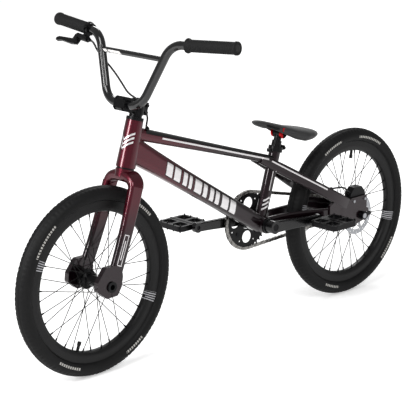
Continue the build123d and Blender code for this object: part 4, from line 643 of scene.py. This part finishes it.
def saddle_piece(settings, material):
    """The cover. At each place along the saddle the top is a superellipse of power 2.4 from wing to
    wing, with a shallow hollow along its middle, and the underside is a wall's thickness inside it,
    so the wings hang down round the clamp. Both are joined at the wings' lower edges, and the nose
    and the tail close to a point. The nose and tail keep a full underside."""
    s = np.linspace(-0.142, 0.108, 110)
    half, top, low = (np.interp(s, SADDLE_STATIONS[:, 0], SADDLE_STATIONS[:, k]) for k in (1, 2, 3))
    kernel = np.array([1, 3, 5, 6, 5, 3, 1]) / 24
    half, top, low = (np.convolve(np.pad(v, 3, mode="reflect", reflect_type="odd"), kernel, "valid")
                      for v in (half, top, low))
    s = np.concatenate([[s[0] - 0.0025], s, [s[-1] + 0.0025]])
    half, top, low = (np.concatenate([v[:1], v, v[-1:]]) for v in (half, top, low))
    centre = (top + low) / 2
    shrink = np.ones(len(s))
    shrink[[0, -1]] = 0.02
    half, tall = half * shrink, (top - low) / 2 * shrink
    turn = np.linspace(0, pi, 49)[None, :]
    power = 2 / 2.4
    across = np.sign(np.cos(turn)) * np.abs(np.cos(turn)) ** power
    upward = np.sin(turn) ** power
    y = half[:, None] * across
    z = centre[:, None] + tall[:, None] * upward
    middle = np.clip((s + 0.12) / 0.03, 0, 1) * np.clip((0.08 - s) / 0.03, 0, 1)
    z = z - settings.channel * np.exp(-(across / 0.25) ** 2) * middle[:, None]
    # The lower half: down to the wing's lower edge, then back up inside to the hollow's roof.
    turn = np.linspace(0, pi, 33)[None, 1:-1]
    side = -np.sign(np.cos(turn)) * np.abs(np.cos(turn)) ** power
    under_y = half[:, None] * side
    bowl = centre[:, None] - tall[:, None] * np.sin(turn) ** power
    open_share = np.clip((s + 0.098) / 0.022, 0, 1) * np.clip((0.066 - s) / 0.016, 0, 1)
    room = np.clip((0.80 - np.abs(side)) / 0.22, 0, 1) ** 0.5
    roof = (SADDLE_ROOF - bowl) * open_share[:, None] * room
    under_z = np.minimum(bowl + np.maximum(roof, 0), z.max(axis=1)[:, None] - 0.004)
    under_z = np.where(shrink[:, None] < 1, bowl, under_z)
    y = np.concatenate([y, under_y], 1)
    h = np.concatenate([z, under_z], 1)
    x = np.broadcast_to(s[:, None], y.shape)
    c, t = cos(SADDLE_TILT), sin(SADDLE_TILT)
    points = np.stack([SADDLE_PIVOT.x + c * x - t * h, y, SADDLE_PIVOT.z + t * x + c * h], -1)
    piece = grid_piece("saddle_cover", points, "saddle", material, along=False)
    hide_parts("saddle")
    return piece


# The front hose's route from the lever to the port in the top of the head, in metres.
HOSE_ROUTE = [
    (0.34845, -0.15377, 0.82420), (0.35046, -0.13993, 0.82340), (0.343, -0.134, 0.800),
    (0.332, -0.119, 0.777), (0.331, -0.086, 0.754), (0.336, -0.048, 0.727), (0.344, -0.016, 0.706),
    (0.343, 0.016, 0.697), (0.333, 0.031, 0.676), (0.322, 0.033, 0.650), (0.3175, 0.023, 0.631),
    (0.3125, 0.0153, 0.6194)]


def hose_piece(settings, material):
    """The hose as a tube round the points that a NURBS spline of the route gives."""
    curve = bpy.data.curves.new("hose_route", "CURVE")
    curve.dimensions = "3D"
    spline = curve.splines.new("NURBS")
    spline.points.add(len(HOSE_ROUTE) - 1)
    spline.points.foreach_set("co", np.array([(*p, 1.0) for p in HOSE_ROUTE]).reshape(-1))
    spline.order_u = 3
    spline.use_endpoint_u = True
    curve.resolution_u = 10
    carrier = bpy.data.objects.new("hose_route", curve)
    line = bpy.data.meshes.new_from_object(carrier)
    path = np.array([v.co for v in line.vertices])
    bpy.data.objects.remove(carrier)
    bpy.data.meshes.remove(line)
    piece = grid_piece("brake_hose", tube_along(path, settings.hose / 2, 14), "steering", material, along=False)
    piece.parent = None
    del piece["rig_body"]
    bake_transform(piece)
    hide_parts("brake_hose_front")
    return piece


# Where the dashes on each tyre's side and the bars on each rim start and end, in degrees round the axle.
TYRE_MARKS = {"front": ((-72, -52), (-128, -112), (28, 52), (120, 140)),
              "rear": ((98, 124), (58, 78), (-78, -62), (-150, -130))}
RIM_MARKS = {"front": ((-160, -152), (20, 28)), "rear": ((-170, -162), (8, 16))}


# ---- operators ------------------------------------------------------------------------------------
class FinishFrame(bpy.types.Operator):
    """Paints the frame and fork and finishes their fittings"""
    bl_idname = "bicycle.finish_frame"
    bl_label = "Frame and fork"

    def execute(self, context):
        settings = context.scene.bicycle_frame
        paint(candy_paint(settings, False), "main_frame")
        paint(candy_paint(settings, True), "fork")
        paint(anodised_black(), "seat_clamp", "bottom_bracket_cups", "headset_covers", "steerer_spacers",
              "front_axle", "chain_tensioners")
        paint(bright_steel(), "headset_bearings", "rear_axle", "fork_pinch_bolts")
        paint(black_steel(), "rear_axle_nuts")
        paint(grip_rubber(), "hose_grommets")
        return {"FINISHED"}


class FinishWheels(bpy.types.Operator):
    """Makes the tyres and finishes the rims, spokes and hubs"""
    bl_idname = "bicycle.finish_wheels"
    bl_label = "Wheels"

    def execute(self, context):
        settings = context.scene.bicycle_wheels
        black, steel, wire = anodised_black(), bright_steel(), black_wire()
        for end, axle in (("front", FRONT_AXLE), ("rear", REAR_AXLE)):
            body = end + "_wheel"
            rubber = tyre_rubber(f"tyre_rubber_{end}", axle, settings.rubber, TYRE_MARKS[end])
            tyre_piece(f"{end}_tyre_tread", f"{end}_tyre", body, axle, settings, rubber)
            paint(carbon_rim(f"carbon_rim_{end}", axle, RIM_MARKS[end]), f"{end}_rim")
            paint(wire, f"{end}_spokes")
            paint(black, f"{end}_nipples", f"{end}_hub")
            paint(steel, f"{end}_hub_bearings")
            paint(grip_rubber(), f"{end}_inner_tube")
        return {"FINISHED"}


class FinishDrive(bpy.types.Operator):
    """Finishes the cranks, chainring, chain, cog and pedals"""
    bl_idname = "bicycle.finish_drive"
    bl_label = "Drive"

    def execute(self, context):
        paint(crank_black(), "crank_arm_left", "crank_arm_right")
        paint(anodised_black(), "chainring", "pedal_left", "pedal_right")
        paint(black_steel(), "crank_spindle", "chainring_bolts", "pedal_axles", "rear_cog")
        paint(chain_steel(), "chain")
        return {"FINISHED"}


class FinishSteering(bpy.types.Operator):
    """Makes the grips and the hose and finishes the bar, stem and lever"""
    bl_idname = "bicycle.finish_steering"
    bl_label = "Bar and lever"

    def execute(self, context):
        settings = context.scene.bicycle_grips
        paint(gloss_black(), "handlebar")
        paint(anodised_black(), "stem", "stem_faceplate", "stem_top_cap", "lever_body", "lever_clamp",
              "lever_blade")
        paint(black_steel(), "stem_bolts")
        paint(moulded_nylon(), "bar_end_plugs")
        rubber = grip_rubber()
        grip_piece("grip_left_ribbed", "grip_left", settings, rubber)
        grip_piece("grip_right_ribbed", "grip_right", settings, rubber)
        hose_piece(settings, moulded_nylon())
        return {"FINISHED"}


class FinishBrake(bpy.types.Operator):
    """Finishes the rear brake"""
    bl_idname = "bicycle.finish_brake"
    bl_label = "Rear brake"

    def execute(self, context):
        paint(anodised_black(), "brake_caliper")
        paint(bright_steel(), "brake_rotor", "caliper_bolts")
        paint(pad_compound(), "brake_pad_left", "brake_pad_right")
        paint(moulded_nylon(), "brake_hose_rear")
        return {"FINISHED"}


class FinishSeat(bpy.types.Operator):
    """Makes the saddle's cover and finishes its clamp, rails and post"""
    bl_idname = "bicycle.finish_seat"
    bl_label = "Saddle and post"

    def execute(self, context):
        settings = context.scene.bicycle_saddle
        saddle_piece(settings, saddle_leather(settings.cover))
        paint(anodised_black(), "seatpost")
        paint(anodised_red(), "saddle_clamp")
        paint(black_steel(), "saddle_rails")
        return {"FINISHED"}


class SetStage(bpy.types.Operator):
    """Makes the floor, the lights and the camera"""
    bl_idname = "bicycle.set_stage"
    bl_label = "Stage"

    def execute(self, context):
        scene = context.scene
        mesh = bpy.data.meshes.new("studio_floor")
        size = 30.0
        mesh.from_pydata([(-size, -size, 0), (size, -size, 0), (size, size, 0), (-size, size, 0)], [],
                         [(0, 1, 2, 3)])
        floor = bpy.data.objects.new("studio_floor", mesh)
        scene.collection.objects.link(floor)
        material, tree, shader, where = start_material("matt_white_paper", Roughness=0.9)
        shader.inputs["Specular IOR Level"].default_value = 0.1
        shader.inputs["Emission Color"].default_value = (1, 1, 1, 1)
        seen = add_node(tree, "ShaderNodeLightPath").outputs["Is Camera Ray"]
        lift = add_node(tree, "ShaderNodeMath", [seen, 0.40], operation="MULTIPLY").outputs[0]
        tree.links.new(lift, shader.inputs["Emission Strength"])
        noise = add_node(tree, "ShaderNodeTexNoise", {"Vector": where, "Scale": 2.0})
        tree.links.new(overlay(tree, (0.93, 0.93, 0.93, 1), (0.95, 0.95, 0.95, 1), noise.outputs["Fac"]),
                       shader.inputs["Base Color"])
        mesh.materials.append(material)
        world = bpy.data.worlds.new("studio")
        scene.world = world
        world.use_nodes = True
        sky = world.node_tree.nodes["Background"]
        sky.inputs["Color"].default_value = (1, 1, 1, 1)
        seen = add_node(world.node_tree, "ShaderNodeLightPath").outputs["Is Camera Ray"]
        glow = add_node(world.node_tree, "ShaderNodeMapRange", {"Value": seen, "To Min": 0.3, "To Max": 1.0})
        world.node_tree.links.new(glow.outputs["Result"], sky.inputs["Strength"])
        scene.view_settings.view_transform = "Standard"
        for name, place, target, size, power in (
                ("key", (1.2, 3.4, 3.0), (0, 0, 0.3), 1.6, 60),
                ("side", (3.6, -0.4, 1.9), (0.2, 0, 0.4), 1.0, 60),
                ("back", (-2.6, -2.6, 3.0), (0, 0, 0.4), 1.6, 45)):
            data = bpy.data.lights.new(name, "AREA")
            data.shape, data.size, data.energy = "SQUARE", size, power
            lamp = bpy.data.objects.new(name, data)
            scene.collection.objects.link(lamp)
            lamp.location = place
            lamp.rotation_euler = (Vector(target) - Vector(place)).to_track_quat("-Z", "Y").to_euler()
        data = bpy.data.lights.new("window", "SUN")
        data.energy, data.angle = 1.45, radians(28)
        lamp = bpy.data.objects.new("window", data)
        scene.collection.objects.link(lamp)
        lamp.rotation_euler = Vector((-0.9, -0.25, -1.15)).to_track_quat("-Z", "Y").to_euler()
        data = bpy.data.cameras.new("camera")
        camera = bpy.data.objects.new("camera", data)
        scene.collection.objects.link(camera)
        data.sensor_width, data.lens = 36.0, 135.8
        data.shift_x, data.shift_y = -0.0091, -0.0055
        camera.location = (2.878275, 2.890266, 1.466298)
        camera.rotation_euler = Vector((-0.672803, -0.692239, -0.261039)).to_track_quat("-Z", "Y").to_euler()
        scene.camera = camera
        return {"FINISHED"}


OPERATORS = (FinishFrame, FinishWheels, FinishDrive, FinishSteering, FinishBrake, FinishSeat, SetStage)
GROUPS = {"bicycle_frame": FrameSettings, "bicycle_wheels": WheelSettings, "bicycle_grips": GripSettings,
          "bicycle_saddle": SaddleSettings}


class BicyclePanel(bpy.types.Panel):
    """Lists the bicycle's settings and pieces"""
    bl_idname = "VIEW3D_PT_bicycle"
    bl_label = "Bicycle"
    bl_space_type = "VIEW_3D"
    bl_region_type = "UI"
    bl_category = "Bicycle"

    def draw(self, context):
        for group, kind in GROUPS.items():
            box = self.layout.box()
            for name in kind.__annotations__:
                box.prop(getattr(context.scene, group), name)
        for operator in OPERATORS:
            self.layout.operator(operator.bl_idname)


def register():
    """Adds the settings, operators and panel."""
    for group, kind in GROUPS.items():
        bpy.utils.register_class(kind)
        setattr(bpy.types.Scene, group, bpy.props.PointerProperty(type=kind))
    for kind in (*OPERATORS, BicyclePanel):
        bpy.utils.register_class(kind)


def unregister():
    """Takes them away again."""
    for kind in (BicyclePanel, *reversed(OPERATORS)):
        bpy.utils.unregister_class(kind)
    for group, kind in GROUPS.items():
        delattr(bpy.types.Scene, group)
        bpy.utils.unregister_class(kind)


def main():
    """Finishes every piece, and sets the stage."""
    register()
    bpy.ops.bicycle.finish_frame()
    bpy.ops.bicycle.finish_wheels()
    bpy.ops.bicycle.finish_drive()
    bpy.ops.bicycle.finish_steering()
    bpy.ops.bicycle.finish_brake()
    bpy.ops.bicycle.finish_seat()
    bpy.ops.bicycle.set_stage()


if __name__ == "__main__":
    main()
